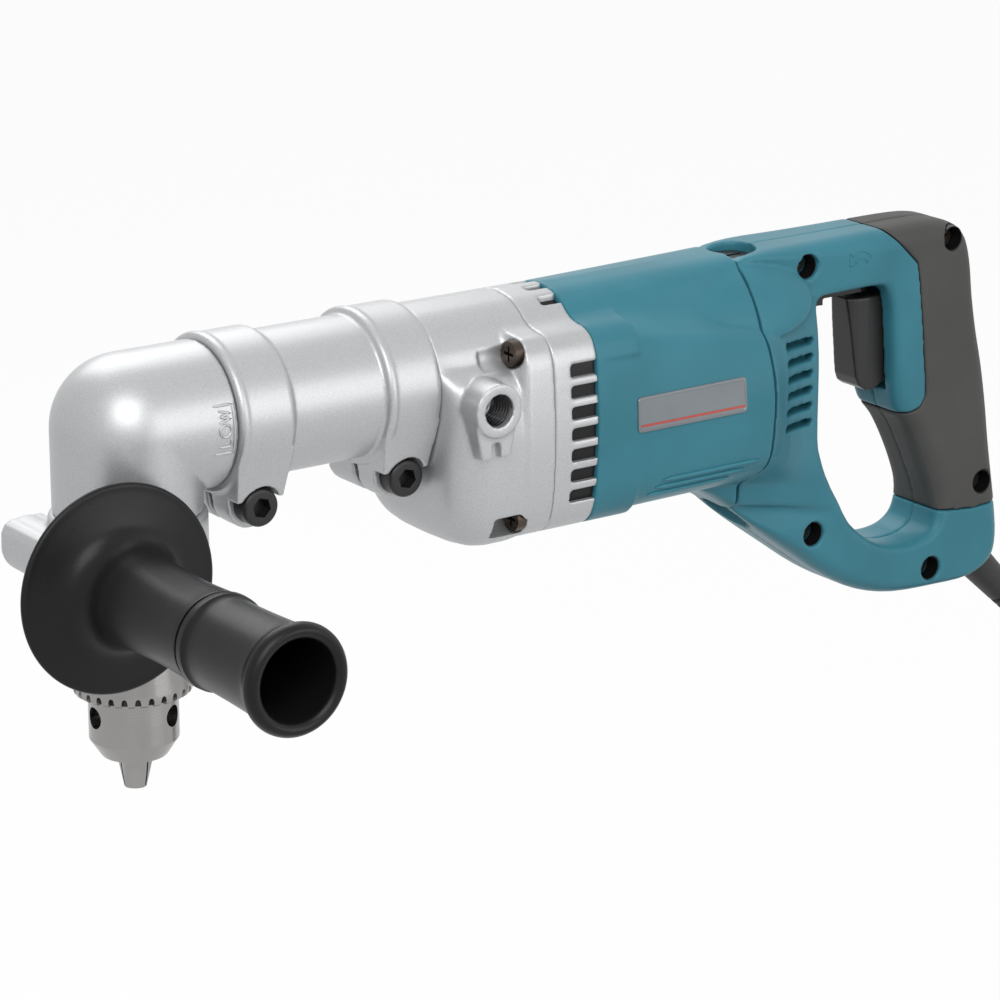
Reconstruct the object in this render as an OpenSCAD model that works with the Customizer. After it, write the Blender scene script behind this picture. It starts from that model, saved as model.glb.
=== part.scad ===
// Corded right angle drill: motor with a D handle, two-stage gearbox, clamped angle head and keyed chuck.
// Working axes before placing: X runs rearwards along the output axis, Z up along the spindle,
// and both axes cross at the middle of the elbow. The finished part has its origin in the rear grip.

/* [Rear grip] */
// Distance from the spindle axis back to the middle of the rear grip
grip_x = 392; // [388:1:396]
// Depth of the grip's middle below the output axis
grip_drop = 62; // [56:1:68]
// Pull of the trigger
trigger_pull = 6; // [4:0.5:7]
// Width of the trigger
trigger_w = 16; // [15:0.5:18]

/* [Angle head] */
// Diameter of both legs of the angle head
leg_d = 56; // [54:0.5:58]
// Distance from the elbow's middle to the end face of each leg
leg_reach = 31.4; // [31:0.2:34]
// Step in radius from each leg down to its turned spigot
spigot_step = 4.2; // [3.6:0.1:4.8]
// Length of each spigot
spigot_len = 25; // [24:0.5:28]
// Wall of the spigots round the head bearings
spigot_wall = 3.8; // [3.4:0.1:4.6]
// Wall of the elbow round the bevel gears
elbow_wall = 5.5; // [5:0.1:6]

/* [Joint sleeve] */
// Length of the sleeve
sleeve_len = 89; // [84:1:96]
// Outer diameter of the plain tube
sleeve_d = 55.2; // [54:0.2:57]
// Outer diameter of the clamp bands
band_d = 61; // [59:0.5:64]
// Width of a clamp band
band_w = 24; // [22:0.5:26]
// Depth of the clamp bolts below the axis
bolt_drop = 34; // [33.5:0.5:37]
// Radius of the clamp ears round the bolts
ear_r = 9.8; // [9.6:0.2:11]
// Width across both clamp ears
ear_w = 39; // [36:1:42]
// Width of the saw slit
slit_w = 3; // [2:0.5:4]
// Diameter of the clamp bolt heads
bolt_head_d = 15; // [13:0.5:16]
// Height of the clamp bolt heads
bolt_head_h = 8; // [6:0.5:9]
// Diameter of the clamp bolt shanks
bolt_d = 8; // [6:0.5:8]

/* [Gear housing] */
// Length of the gear housing behind the sleeve
gear_len = 44.6; // [44:0.2:48]
// Length of the vented fan casing
vent_len = 20.5; // [20:0.5:24]
// Drop of the motor axis below the output axis
motor_drop = 22; // [22:0.1:22.5]
// Outer diameter of the side handle boss
side_boss_d = 21; // [20:0.5:23]
// Core diameter of the side handle thread
side_thread_d = 12; // [11:0.5:13]
// Depth of the side handle thread
side_thread_len = 15; // [12:0.5:16]
// Number of cooling slots on each flank of the fan casing
vent_count = 7; // [5:1:7]
// Height of a cooling slot
vent_h = 5; // [4:0.2:5.5]
// Pitch of the cooling slots
vent_pitch = 8.35; // [7.6:0.05:8.6]

/* [Gears] */
// Teeth of the motor pinion
motor_teeth = 8; // [8:1:8]
// Teeth of the large intermediate gear
first_teeth = 26; // [26:1:26]
// Module of the first pair
first_mod = 1; // [0.95:0.01:1.02]
// Teeth of the small intermediate gear
second_teeth = 10; // [10:1:10]
// Teeth of the output gear
output_teeth = 30; // [30:1:30]
// Module of the second pair
second_mod = 1.1; // [1.08:0.01:1.12]
// Teeth of the bevel pinion
pinion_teeth = 12; // [12:1:12]
// Teeth of the bevel gear
bevel_teeth = 24; // [24:1:24]
// Clearance round the bevel gear inside the elbow
bevel_clear = 1.9; // [1.6:0.1:2.6]

/* [Motor] */
// Length of the motor housing
motor_len = 88; // [86:1:92]
// Outer diameter of the stator
stator_d = 72; // [68:1:74]
// Diameter of the rotor core
rotor_d = 45; // [42:0.5:46]
// Diameter of the commutator
commutator_d = 28; // [24:1:30]
// Diameter of the fan
fan_d = 64; // [58:1:66]
// Number of fan blades
fan_blades = 12; // [8:1:14]

/* [Chuck] */
// Height of the jaw tips below the output axis
tip_drop = 141.4; // [140:0.2:144]
// Diameter of the toothed sleeve
ring_d = 44; // [43:0.5:45]
// Teeth on the sleeve
ring_teeth = 36; // [30:2:38]
// Diameter of the chuck body
chuck_d = 34; // [33.5:0.5:35]
// Diameter of the round jaws
jaw_d = 7; // [6.5:0.1:7.2]
// Tilt of the jaws
jaw_tilt = 15; // [14:0.5:15.5]
// Travel of the jaws along their bores
jaw_travel = 15; // [12:1:16]

/* [Side handle] */
// Distance of the side handle's axis in front of the spindle
side_x = 25.4; // [25:0.2:27]
// Drop of the side handle's axis below the output axis
side_drop = 48; // [46:0.5:49]
// Half length of the cross boss
cross_boss_half = 33.4; // [32:0.2:35]
// Diameter of the cross boss
cross_boss_d = 21.4; // [20:0.2:22]
// Diameter of the hand guard disc
guard_disc_d = 79; // [74:1:82]
// Length of the side handle
side_len = 124; // [116:1:128]
// Diameter of the grip's waist
side_grip_d = 35; // [33:0.5:36]
// Diameter of the end rim
side_rim_d = 40.6; // [39:0.2:42]
// Diameter of the hollow in the end
side_hole_d = 29.4; // [26:0.2:30]
// Depth of the hollow in the end
side_hole_len = 62; // [40:1:70]

/* [Cord] */
// Diameter of the cord
cord_d = 8; // [7.6:0.1:8.2]
// Diameter of the cord guard at the housing
guard_root_d = 16.4; // [15:0.2:17]
// Diameter of the cord guard at its tip
guard_tip_d = 11.6; // [10.6:0.2:13]
// Spacing of the coil's turns
turn_pitch = 9.7; // [9.6:0.1:10.2]

/* [Hidden] */
$fn = 48;

casting = "silver";
blue = "steelblue";
soft_grey = "dimgray";
black = "#202022";
steel = "lightgray";
bright = "gainsboro";
copper = "peru";
screw_brown = "#4a4038";

// Clearances: running fit, seat on a round face, gap between castings that move on each other
run_fit = 0.06;
seat_fit = 0.05;
face_gap = 0.2;
through = 1;

// Stations along the output axis
leg_r = leg_d / 2;
spigot_r = leg_d / 2 - spigot_step;
head_bore_r = spigot_r - spigot_wall;
elbow_hollow_r = leg_d / 2 - elbow_wall;
sleeve_x0 = leg_reach + face_gap;
sleeve_x1 = sleeve_x0 + sleeve_len;
gear_x0 = sleeve_x1 + face_gap;
gear_x1 = gear_x0 + gear_len;
motor_x0 = gear_x1 + vent_len;
motor_x1 = motor_x0 + motor_len;
handle_x0 = motor_x1 + face_gap;
motor_z = -motor_drop;

module part_frame() translate([-grip_x, 0, grip_drop]) children();
module rod_x(x0, x1, r, y = 0, z = 0) translate([x0, y, z]) rotate([0, 90, 0]) cylinder(r = r, h = x1 - x0);
module rod_y(y0, y1, r, x = 0, z = 0) translate([x, y0, z]) rotate([-90, 0, 0]) cylinder(r = r, h = y1 - y0);
module rod_z(z0, z1, r, x = 0, y = 0) translate([x, y, z0]) cylinder(r = r, h = z1 - z0);
module cone_x(x0, x1, r0, r1, y = 0, z = 0)
    translate([x0, y, z]) rotate([0, 90, 0]) cylinder(r1 = r0, r2 = r1, h = x1 - x0);
module block(x0, x1, y0, y1, z0, z1) translate([x0, y0, z0]) cube([x1 - x0, y1 - y0, z1 - z0]);
module ring_x(x0, x1, r_out, r_in, y = 0, z = 0) difference() {
    rod_x(x0, x1, r_out, y, z);
    rod_x(x0 - through, x1 + through, r_in, y, z);
}
module ring_z(z0, z1, r_out, r_in) difference() {
    rod_z(z0, z1, r_out);
    rod_z(z0 - through, z1 + through, r_in);
}
// A side outline, drawn in X and Z, made into a plate from y0 to y1
module side_plate(points, y0, y1) translate([0, y1, 0]) rotate([90, 0, 0]) linear_extrude(y1 - y0)
    polygon(points);

function mix(a, b, t) = a + (b - a) * t;
function unit(v) = v / norm(v);

// Skin over rings of equal length; a closed loop of rings needs no caps
module loft(rings, loop = false, turn = false) {
    n = len(rings[0]);
    m = len(rings);
    last = loop ? m : m - 1;
    middle_0 = [for (k = [0:2]) [for (p = rings[0]) p[k]] * [for (p = rings[0]) 1] / n];
    middle_1 = [for (k = [0:2]) [for (p = rings[m - 1]) p[k]] * [for (p = rings[0]) 1] / n];
    points = concat([for (r = rings) each r], loop ? [] : [middle_0, middle_1]);
    wall = [for (i = [0:last - 1], j = [0:n - 1], half = [0, 1])
        let (a = i * n + j, b = i * n + (j + 1) % n)
        let (c = ((i + 1) % m) * n + j, d = ((i + 1) % m) * n + (j + 1) % n)
        half == 0 ? [a, b, c] : [b, d, c]];
    caps = loop ? [] : [for (j = [0:n - 1], end = [0, 1])
        end == 0 ? [(j + 1) % n, j, m * n] : [(m - 1) * n + j, (m - 1) * n + (j + 1) % n, m * n + 1]];
    faces = concat(wall, caps);
    polyhedron(points, turn ? [for (f = faces) [f[0], f[2], f[1]]] : faces);
}

// Half outlines of the housing, [y, z] from the top of the ridge down to the keel
front_half = [[9.6, 26.3], [16.5, 22.6], [20.4, 19.2], [24.5, 17.4], [29.5, 16.6], [34, 14.6], [37.6, 10.4],
    [39.6, 2], [41, -22], [39.9, -43], [37.6, -53], [33, -59], [26, -62], [18, -63], [16.8, -63.2], [15,
        -63.4],
    [9, -63.6]];
rear_half = [[9, 28], [14.2, 26], [16.6, 21.5], [18, 14], [20.4, 8], [25, 4], [31.5, 1], [37, -7], [41, -22],
    [40, -42], [37, -52], [31, -58], [23, -62.6], [18.4, -66], [17.8, -70], [17, -74.6], [13, -77.6]];
ledge_half = [[9.6, 26.3], [16.5, 22.6], [20.4, 19.2], [24.6, 13], [27.2, 6.6], [32.5, 4], [37, -1], [39, -9],
    [40, -22], [38.7, -43], [36.4, -52], [31.6, -58.6], [25, -62], [18, -63], [16.8, -63.2], [15, -63.4],
        [9, -63.6]];
nose_half = [[9.6, 26.3], [16.5, 22.6], [20.4, 19.2], [24.2, 14.1], [26.5, 9], [27.6, 4.6], [27.9, 2],
    [27.8, -4],
    [26.4, -14], [24, -26], [21.6, -34], [18.6, -39.5], [14.6, -43.2], [11, -45], [9, -45.6], [7.5, -45.9],
        [4, -46.3]];
keel_from = 13;
function mirrored(half, top, foot) = concat([[0, top]], half, [[0, foot]],
    [for (i = [len(half) - 1:-1:0]) [-half[i][0], half[i][1]]]);
function half_mix(a, b, t, keel) = [for (i = [0:len(a) - 1]) mix(a[i], b[i], i < keel_from ? t : keel)];
function at_x(x, outline) = [for (p = outline) [x, p[0], p[1]]];
ridge_top = 28;
rear_top = 28.3;
belly = -63.8;
nose_foot = -46.4;
keel_foot = -78.4;
casing_sag = 2;
ledge_sag = 3.4;
sag_from = 9;
function sagged(half, sag) = [for (i = [0:len(half) - 1]) half[i] - [0, i > sag_from ? sag : i == sag_from
    ? sag / 2 : 0]];
casing_half = sagged(front_half, casing_sag);
belly_half = sagged(ledge_half, ledge_sag);
front_outline = mirrored(casing_half, ridge_top, belly - casing_sag);

// Spur gear with straight-sided teeth, thinned for backlash
addendum = 0.8;
dedendum = 1.2;
tip_share = 0.12;
root_share = 0.31;
function gear_points(teeth, mod, turn = 0) = let (r = teeth * mod / 2)
    [for (i = [0:teeth - 1], c = [[-root_share, -dedendum], [-tip_share, addendum], [tip_share, addendum],
        [root_share, -dedendum]])
        let (a = turn + 360 / teeth * (i + c[0]), q = r + mod * c[1]) q * [cos(a), sin(a)]];
// Gear on an axis along X; the outline's first axis is Y and its second Z
module spur_x(x0, x1, teeth, mod, turn, y = 0, z = 0)
    translate([x0, y, z]) rotate([90, 0, 90]) linear_extrude(x1 - x0) polygon(gear_points(teeth, mod, turn));

// Gear train: the intermediate axis closes the triangle of centre distances
first_a = (motor_teeth + first_teeth) * first_mod / 2;
second_a = (second_teeth + output_teeth) * second_mod / 2;
lay_z = (first_a * first_a - second_a * second_a - motor_drop * motor_drop) / (2 * motor_drop);
lay_y = sqrt(second_a * second_a - lay_z * lay_z);
first_dir = atan2(lay_z - motor_z, lay_y);
second_dir = atan2(lay_z, lay_y);
// Rest angles that put a tooth of one gear in a gap of the other
motor_phase = first_dir;
first_phase = first_dir + 180 + 180 / first_teeth;
output_phase = second_dir;
second_phase = second_dir + 180 + 180 / second_teeth;

// Stations inside the gear housing
output_gear_x0 = gear_x0 + 9;
lay_bearing_x0 = gear_x0 + 2.4;
output_gear_x1 = output_gear_x0 + 11;
first_gear_x0 = output_gear_x1 + 1.5;
first_gear_x1 = first_gear_x0 + 7;
plate_x0 = first_gear_x1 + 1.5;
plate_x1 = plate_x0 + 14;
front_bearing_x0 = gear_x0 - 20;
bearing_w = 11;
bearing_r = 17.5;
output_shaft_r = 7;
lay_shaft_r = 4;
lay_bearing_r = 8;
armature_r = 5;
armature_bearing_r = 13;
armature_bearing_w = 8;
plate_seat = 5;
lay_room_r = 15;
output_room_r = 21;

// Stations of the motor
fan_x0 = gear_x1 + 3;
fan_x1 = motor_x0 - 4;
rotor_x0 = motor_x0 + 10;
rotor_x1 = rotor_x0 + 56;
winding_w = 8;
stator_x0 = rotor_x0 + 2;
stator_x1 = rotor_x1 - 2;
air_gap = 0.6;
brush_x = motor_x1 + 8;
commutator_x0 = brush_x - 12;
commutator_x1 = brush_x + 9;
tail_bearing_x0 = commutator_x1 + 4;
tail_bearing_w = 7;
tail_bearing_r = 11;
tail_shaft_r = 4;
brush_half = [3.2, 5];
holder_r = 7.2;
cap_r = 8.2;
cap_top = 25;
cap_foot = -66;
cap_h = 3;
cap_recess_r = 10;

// Screws of the housing
screw_spots = [[30.4, 10.8], [-30.4, 10.8], [32, -54.4], [-32, -54.4]];
housing_screw_r = 2.5;
housing_head_r = 5;
housing_head_h = 4;
housing_head_x = gear_x1 - 15;
housing_screw_x1 = motor_x0 + 16;
screw_pad_r = 5.6;
pocket_len = 11;

// Side handle threads
side_boss_x = gear_x0 + 15;
side_boss_z = -6;
side_boss_y = 45.6;

module mirror_y() {
    children();
    mirror([0, 1, 0]) children();
}

module gear_housing() color(casting) part_frame() difference() {
    union() {
        loft([
            at_x(gear_x0, mirrored(nose_half, ridge_top, nose_foot)),
            at_x(gear_x0 + 3, mirrored(half_mix(nose_half, belly_half, 0.45, 0.45), ridge_top,
                mix(nose_foot, belly - ledge_sag, 0.45))),
            at_x(gear_x0 + 8, mirrored(half_mix(nose_half, belly_half, 0.76, 0.76), ridge_top,
                mix(nose_foot, belly - ledge_sag, 0.76))),
            at_x(gear_x0 + 14, mirrored(half_mix(nose_half, belly_half, 0.94, 0.94), ridge_top,
                mix(nose_foot, belly - ledge_sag, 0.94))),
            at_x(gear_x0 + 21, mirrored(belly_half, ridge_top, belly - ledge_sag)),
            at_x(gear_x1 - 14.5, mirrored(belly_half, ridge_top, belly - ledge_sag)),
            at_x(gear_x1 - 11.5, front_outline),
            at_x(gear_x1, front_outline)
        ]);
        rod_x(gear_x0 - band_w, gear_x0 + 4, spigot_r);
        for (s = screw_spots) rod_x(housing_head_x, gear_x1, screw_pad_r, s[0], s[1]);
        mirror_y() {
            rod_y(20, side_boss_y, side_boss_d / 2, side_boss_x, side_boss_z);
            side_plate([[side_boss_x - side_boss_d / 2, side_boss_z], [side_boss_x - 6.5, side_boss_z - 19],
                [side_boss_x + 6.5, side_boss_z - 19], [side_boss_x + side_boss_d / 2, side_boss_z]], 20,
                    side_boss_y - 2);
        }
    }
    // Bearing bore, gear room and the seat of the rear plate
    rod_x(front_bearing_x0, output_gear_x0 - 2, bearing_r + seat_fit);
    rod_x(front_bearing_x0 - 10, gear_x0, bearing_r - 3);
    rod_x(output_gear_x0 - 2.5, plate_x0, output_room_r);
    rod_x(output_gear_x0 - 2.5, plate_x0, lay_room_r, lay_y, lay_z);
    rod_x(lay_bearing_x0, output_gear_x0, lay_bearing_r + seat_fit, lay_y, lay_z);
    rod_x(first_gear_x0 - 2, plate_x0, 8, 0, motor_z);
    rod_x(plate_x0, gear_x1 + through, 33, 0, motor_z);
    rod_x(plate_x0, plate_x1, 24);
    for (s = screw_spots) {
        rod_x(housing_head_x - pocket_len, housing_head_x + housing_head_h, housing_head_r + 0.8, s[0], s[1]);
        rod_x(housing_head_x, gear_x1 + through, housing_screw_r + 0.3, s[0], s[1]);
    }
    mirror_y() {
        rod_y(side_boss_y - side_thread_len, side_boss_y + through, side_thread_d / 2, side_boss_x,
            side_boss_z);
        block(side_boss_x - 2, side_boss_x + 2, side_boss_y - 6, side_boss_y, side_boss_z - 20,
            side_boss_z - 13);
    }
}

// Rear wall of the gear room, carrying the rear bearings and the front bearing of the armature
module gear_plate() color(bright) part_frame() difference() {
    union() {
        rod_x(plate_x0, plate_x1, 33 - seat_fit, 0, motor_z);
        rod_x(plate_x0, plate_x1 - 0.01, 24 - seat_fit);
    }
    rod_x(plate_x0 - through, plate_x0 + plate_seat + 0.2, output_shaft_r + 4 + seat_fit);
    rod_x(plate_x0 - through, plate_x0 + plate_seat + 0.2, lay_bearing_r + seat_fit, lay_y, lay_z);
    rod_x(plate_x0 - through, plate_x1 + through, armature_r + 2.4, 0, motor_z);
    rod_x(plate_x1 - armature_bearing_w, plate_x1 + through, armature_bearing_r + seat_fit, 0, motor_z);
}

module fan_casing() color(casting) part_frame() difference() {
    translate([gear_x1, 0, 0]) rotate([90, 0, 90]) linear_extrude(vent_len) polygon(front_outline);
    rod_x(gear_x1 - through, motor_x0 + through, fan_d / 2 + 3, 0, motor_z);
    mirror_y() for (i = [0:vent_count - 1])
        block(motor_x0 - 12.5, motor_x0 + through, 20, 60, motor_z - 1 + (i - (vent_count - 1) / 2)
            * vent_pitch - vent_h / 2,
            motor_z - 1 + (i - (vent_count - 1) / 2) * vent_pitch + vent_h / 2);
    for (y = [-13.5, -4.5, 4.5, 13.5])
        block(motor_x0 - 9, motor_x0 + through, y - 2, y + 2, 8, 40);
    for (s = screw_spots) rod_x(gear_x1 - through, motor_x0 + through, housing_screw_r + 0.3, s[0], s[1]);
}

module housing_screws() color(screw_brown) part_frame() for (s = screw_spots) difference() {
    union() {
        rod_x(housing_head_x, housing_screw_x1, housing_screw_r, s[0], s[1]);
        rod_x(housing_head_x, housing_head_x + housing_head_h, housing_head_r, s[0], s[1]);
    }
    for (a = [0, 90]) translate([housing_head_x - through, s[0], s[1]]) rotate([a, 0, 0])
        translate([0, -3, -0.6]) cube([through + 1.8, 6, 1.2]);
}

stator_bore_r = stator_d / 2 + seat_fit;
function motor_ring(x) = let (t = (x - motor_x0) / motor_len, k = max(0, (x - motor_x1 + 27) / 27))
    at_x(x, mirrored(half_mix(front_half, rear_half, t, k * (0.55 + 0.45 * k)), mix(ridge_top, rear_top,
        t), mix(belly, keel_foot, k * (0.55 + 0.45 * k))));

// Raised corner pads that hold the housing screws
pad_len = 21;
pad_in_y = 22;
pad_zones = [[4, 24], [-66, -45]];
module screw_pads() intersection() {
    translate([motor_x0, 0, 0]) rotate([90, 0, 90]) linear_extrude(pad_len) polygon(front_outline);
    for (z = pad_zones) mirror_y()
        block(motor_x0 - through, motor_x0 + pad_len + through, pad_in_y, 60, z[0], z[1]);
}

// Low oval swelling across the seam on each flank
swell_at = [277.5, 10, 13];
swell_long = 28;
swell_r = 13;
swell_in_y = 12;
swell_half = [for (a = [-90:15:90]) [swell_r * cos(a), swell_long * sin(a)]];
module flank_swell(x0, x1) intersection() {
    translate(swell_at) rotate([0, 90, 0]) rotate_extrude() polygon(swell_half);
    block(x0, x1, swell_in_y, 60, -20, 40);
}

module motor_housing() color(blue) part_frame() difference() {
    union() {
        mirror_y() flank_swell(motor_x1 - 40, motor_x1);
        loft([for (s = [0, 30, 61, 70, 79, 88]) motor_ring(motor_x0 + s * motor_len / 88)]);
        screw_pads();
    }
    rod_x(motor_x0 - through, motor_x1 + through, stator_bore_r, 0, motor_z);
    for (s = screw_spots)
        rod_x(motor_x0 - through, housing_screw_x1 + 0.5, housing_screw_r + 0.05, s[0], s[1]);
    cap_recesses();
}

module stator_core() color(steel) part_frame() difference() {
    rod_x(stator_x0, stator_x1, stator_d / 2, 0, motor_z);
    rod_x(stator_x0 - through, stator_x1 + through, rotor_d / 2 + air_gap, 0, motor_z);
    mirror_y() block(stator_x0 - through, stator_x1 + through, 16, 31, motor_z - 14, motor_z + 14);
}

module field_coils() color(copper) part_frame() mirror_y() difference() {
    block(stator_x0 - 6, stator_x1 + 6, 24, 30.5, motor_z - 13.5, motor_z + 13.5);
    rod_x(stator_x0 - 7, stator_x1 + 7, rotor_d / 2 + 2, 0, motor_z);
}

module armature_shaft() color(steel) part_frame() {
    rod_x(first_gear_x1, tail_bearing_x0, armature_r, 0, motor_z);
    rod_x(tail_bearing_x0 - 0.01, tail_bearing_x0 + tail_bearing_w, tail_shaft_r, 0, motor_z);
    spur_x(first_gear_x0 - 0.5, first_gear_x1 + 0.01, motor_teeth, first_mod, motor_phase, 0, motor_z);
}

slot_count = 12;
module rotor_core() color("gray") part_frame() difference() {
    rod_x(rotor_x0, rotor_x1, rotor_d / 2, 0, motor_z);
    rod_x(rotor_x0 - through, rotor_x1 + through, armature_r, 0, motor_z);
    for (i = [0:slot_count - 1]) translate([0, 0, motor_z]) rotate([i * 360 / slot_count, 0, 0])
        block(rotor_x0 - through, rotor_x1 + through, -1.4, 1.4, rotor_d / 2 - 6, rotor_d / 2 + through);
}

module rotor_windings() color(copper) part_frame() for (x = [rotor_x0 - winding_w, rotor_x1])
    translate([x, 0, motor_z]) rotate([0, 90, 0]) difference() {
        rotate_extrude() polygon([[armature_r, 0], [rotor_d / 2 - 5, 0], [rotor_d / 2 - 2.5, 2.5],
            [rotor_d / 2 - 2.5, winding_w - 2.5], [rotor_d / 2 - 5, winding_w], [armature_r, winding_w]]);
        translate([0, 0, -through]) cylinder(r = armature_r, h = winding_w + 2 * through);
    }

module commutator() color(copper) part_frame() difference() {
    rod_x(commutator_x0, commutator_x1, commutator_d / 2, 0, motor_z);
    rod_x(commutator_x0 - through, commutator_x1 + through, armature_r, 0, motor_z);
    for (i = [0:23]) translate([0, 0, motor_z]) rotate([i * 15, 0, 0])
        block(commutator_x0 + 3, commutator_x1 + through, -0.4, 0.4, commutator_d / 2 - 1.5,
            commutator_d / 2 + through);
}

module cooling_fan() color(black) part_frame() difference() {
    union() {
        rod_x(fan_x1 - 2.5, fan_x1, fan_d / 2, 0, motor_z);
        rod_x(fan_x0, fan_x1, armature_r + 4, 0, motor_z);
        for (i = [0:fan_blades - 1]) translate([0, 0, motor_z]) rotate([i * 360 / fan_blades, 0, 0])
            block(fan_x0 + 2, fan_x1 - 1, -0.8, 0.8, armature_r + 3, fan_d / 2 - 1);
    }
    rod_x(fan_x0 - through, fan_x1 + through, armature_r, 0, motor_z);
}

// Ball bearing as two races and a filled ball track
module bearing_x(x0, x1, r_out, r_in, y = 0, z = 0) translate([x0, y, z]) rotate([0, 90, 0])
    rotate_extrude() bearing_section(x1 - x0, r_out, r_in);
module bearing_section(w, r_out, r_in) let (race = (r_out - r_in) * 0.28, dip = w * 0.16)
    polygon([[r_in, 0], [r_in + race, 0], [r_in + race, dip], [r_out - race, dip], [r_out - race, 0],
        [r_out, 0],
        [r_out, w], [r_out - race, w], [r_out - race, w - dip], [r_in + race, w - dip], [r_in + race, w],
            [r_in, w]]);

module shaft_bearings() color(steel) part_frame() {
    bearing_x(front_bearing_x0, front_bearing_x0 + bearing_w, bearing_r, output_shaft_r + run_fit);
    bearing_x(plate_x0 + 0.3, plate_x0 + plate_seat, output_shaft_r + 4, output_shaft_r + run_fit);
    bearing_x(lay_bearing_x0, output_gear_x0 - 2.6, lay_bearing_r, lay_shaft_r + run_fit, lay_y, lay_z);
    bearing_x(plate_x0 + 0.3, plate_x0 + plate_seat, lay_bearing_r, lay_shaft_r + run_fit, lay_y, lay_z);
    bearing_x(plate_x1 - armature_bearing_w, plate_x1, armature_bearing_r, armature_r + run_fit, 0, motor_z);
    bearing_x(tail_bearing_x0, tail_bearing_x0 + tail_bearing_w, tail_bearing_r, tail_shaft_r + run_fit, 0,
        motor_z);
}

module intermediate_shaft() color(steel) part_frame() {
    rod_x(lay_bearing_x0 + 0.4, plate_x0 + plate_seat, lay_shaft_r, lay_y, lay_z);
    spur_x(output_gear_x0 - 0.5, first_gear_x0, second_teeth, second_mod, second_phase, lay_y, lay_z);
}

module intermediate_gear() color("darkgray") part_frame() difference() {
    spur_x(first_gear_x0, first_gear_x1, first_teeth, first_mod, first_phase, lay_y, lay_z);
    rod_x(first_gear_x0 - through, first_gear_x1 + through, lay_shaft_r, lay_y, lay_z);
}

socket_x0 = sleeve_x0 + spigot_len + 2.4;
socket_x1 = socket_x0 + 17;
socket_r = 9.5;
tongue_r = 5;
module output_shaft() color(steel) part_frame() difference() {
    union() {
        rod_x(socket_x0, socket_x1, socket_r);
        rod_x(socket_x1 - 0.01, plate_x0 + plate_seat, output_shaft_r);
    }
    rod_x(socket_x0 - through, socket_x1 - 2, tongue_r + run_fit + 0.04);
}

module output_gear() color("darkgray") part_frame() difference() {
    spur_x(output_gear_x0, output_gear_x1, output_teeth, second_mod, output_phase);
    rod_x(output_gear_x0 - through, output_gear_x1 + through, output_shaft_r);
}

// Brushes and holders above and below the commutator
brush_tip = commutator_d / 2 + 0.2;
brush_len = 14;
module brush_holders() color(copper) part_frame() difference() {
    union() {
        rod_z(motor_z + brush_tip + 3, cap_top - cap_h, holder_r, brush_x);
        rod_z(cap_foot + cap_h, motor_z - brush_tip - 3, holder_r, brush_x);
    }
    block(brush_x - brush_half[0] - seat_fit, brush_x + brush_half[0] + seat_fit, -brush_half[1] - seat_fit,
        brush_half[1] + seat_fit, cap_foot, cap_top);
}

module carbon_brushes() color("#333333") part_frame() for (s = [-1, 1])
    block(brush_x - brush_half[0], brush_x + brush_half[0], -brush_half[1], brush_half[1],
        motor_z + min(s * brush_tip, s * (brush_tip + brush_len)), motor_z + max(s * brush_tip,
            s * (brush_tip + brush_len)));

module brush_caps() color(black) part_frame() {
    difference() {
        rod_z(cap_top - cap_h, cap_top, cap_r, brush_x);
        block(brush_x - 5, brush_x + 5, -0.9, 0.9, cap_top - 1.4, cap_top + through);
    }
    difference() {
        rod_z(cap_foot, cap_foot + cap_h, cap_r, brush_x);
        block(brush_x - 5, brush_x + 5, -0.9, 0.9, cap_foot - through, cap_foot + 1.4);
    }
}

// Handle stations round the finger opening: inner point, outer point, inner and outer half width, edge radii
seam_in = [[331, -87.5], [329.5, -84.5], [325, -77], [323.5, -74], [321.5, -70], [319, -63], [317.2, -54],
    [317, -24],
    [316.2, -10], [315.4, -3.5], [315, -1], [314.8, 1.4], [315, 3.4], [315.6, 4.6], [316.6, 5.4], [318, 5.8]];
seam_out = [for (i = [16:-1:1]) rear_half[i]];
seam_width = 17.6;
function seam_station(i) = [seam_in[i][0], seam_in[i][1], handle_x0, seam_out[i][1],
    seam_width, seam_out[i][0], 4, 0.3];
loop_stations = concat([for (i = [0:len(seam_in) - 1]) seam_station(i)], [
    [321, 6, 290, 28.4, 17.4, 17.4, 3, 6],
    [330, 6, 315, 28.5, 17.4, 17.6, 3, 7],
    [344, 6, 345, 28.7, 17.2, 17.6, 3, 8],
    [352, 4, 369, 28.9, 17, 17.4, 4, 9],
    [355, -4, 385, 27.8, 17, 17, 4, 9],
    [356, -14, 395.6, 22.6, 17, 16.8, 5, 9],
    [357, -26, 400.4, 12, 17, 16.8, 5, 10],
    [358, -38, 403, -5, 16.8, 16.6, 6, 10],
    [361, -50, 406, -21, 16.6, 16.6, 7, 10],
    [367, -58, 409.6, -36, 16.4, 16.6, 8, 10],
    [372.4, -68, 412.8, -53, 16.4, 16.6, 9, 10],
    [378, -80, 415.4, -71, 16.4, 16.6, 9, 10],
    [382, -90, 417.2, -86, 16.6, 16.8, 8, 9],
    [383.4, -98.4, 418.8, -100, 16.8, 17, 6, 8],
    [381.4, -104.8, 419.6, -115, 17, 17, 5, 7],
    [375, -108.6, 416.6, -125, 17, 17, 5, 7],
    [366, -109.6, 405, -130.8, 17, 17, 5, 7],
    [357, -108.4, 385, -131.4, 17, 17, 5, 7],
    [349, -105, 362, -130.4, 17, 17, 5, 7],
    [343, -100.6, 343, -125.6, 17, 17, 5, 7],
    [339, -97, 326, -116.6, 17, 17, 5, 7],
    [336, -94, 309, -104.6, 17.2, 17, 5, 7],
    [333, -90.4, 290, -90.6, 17.4, 17, 4, 6]
]);
bevel_share = 0.3;
hollow_share = 0.1;
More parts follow.
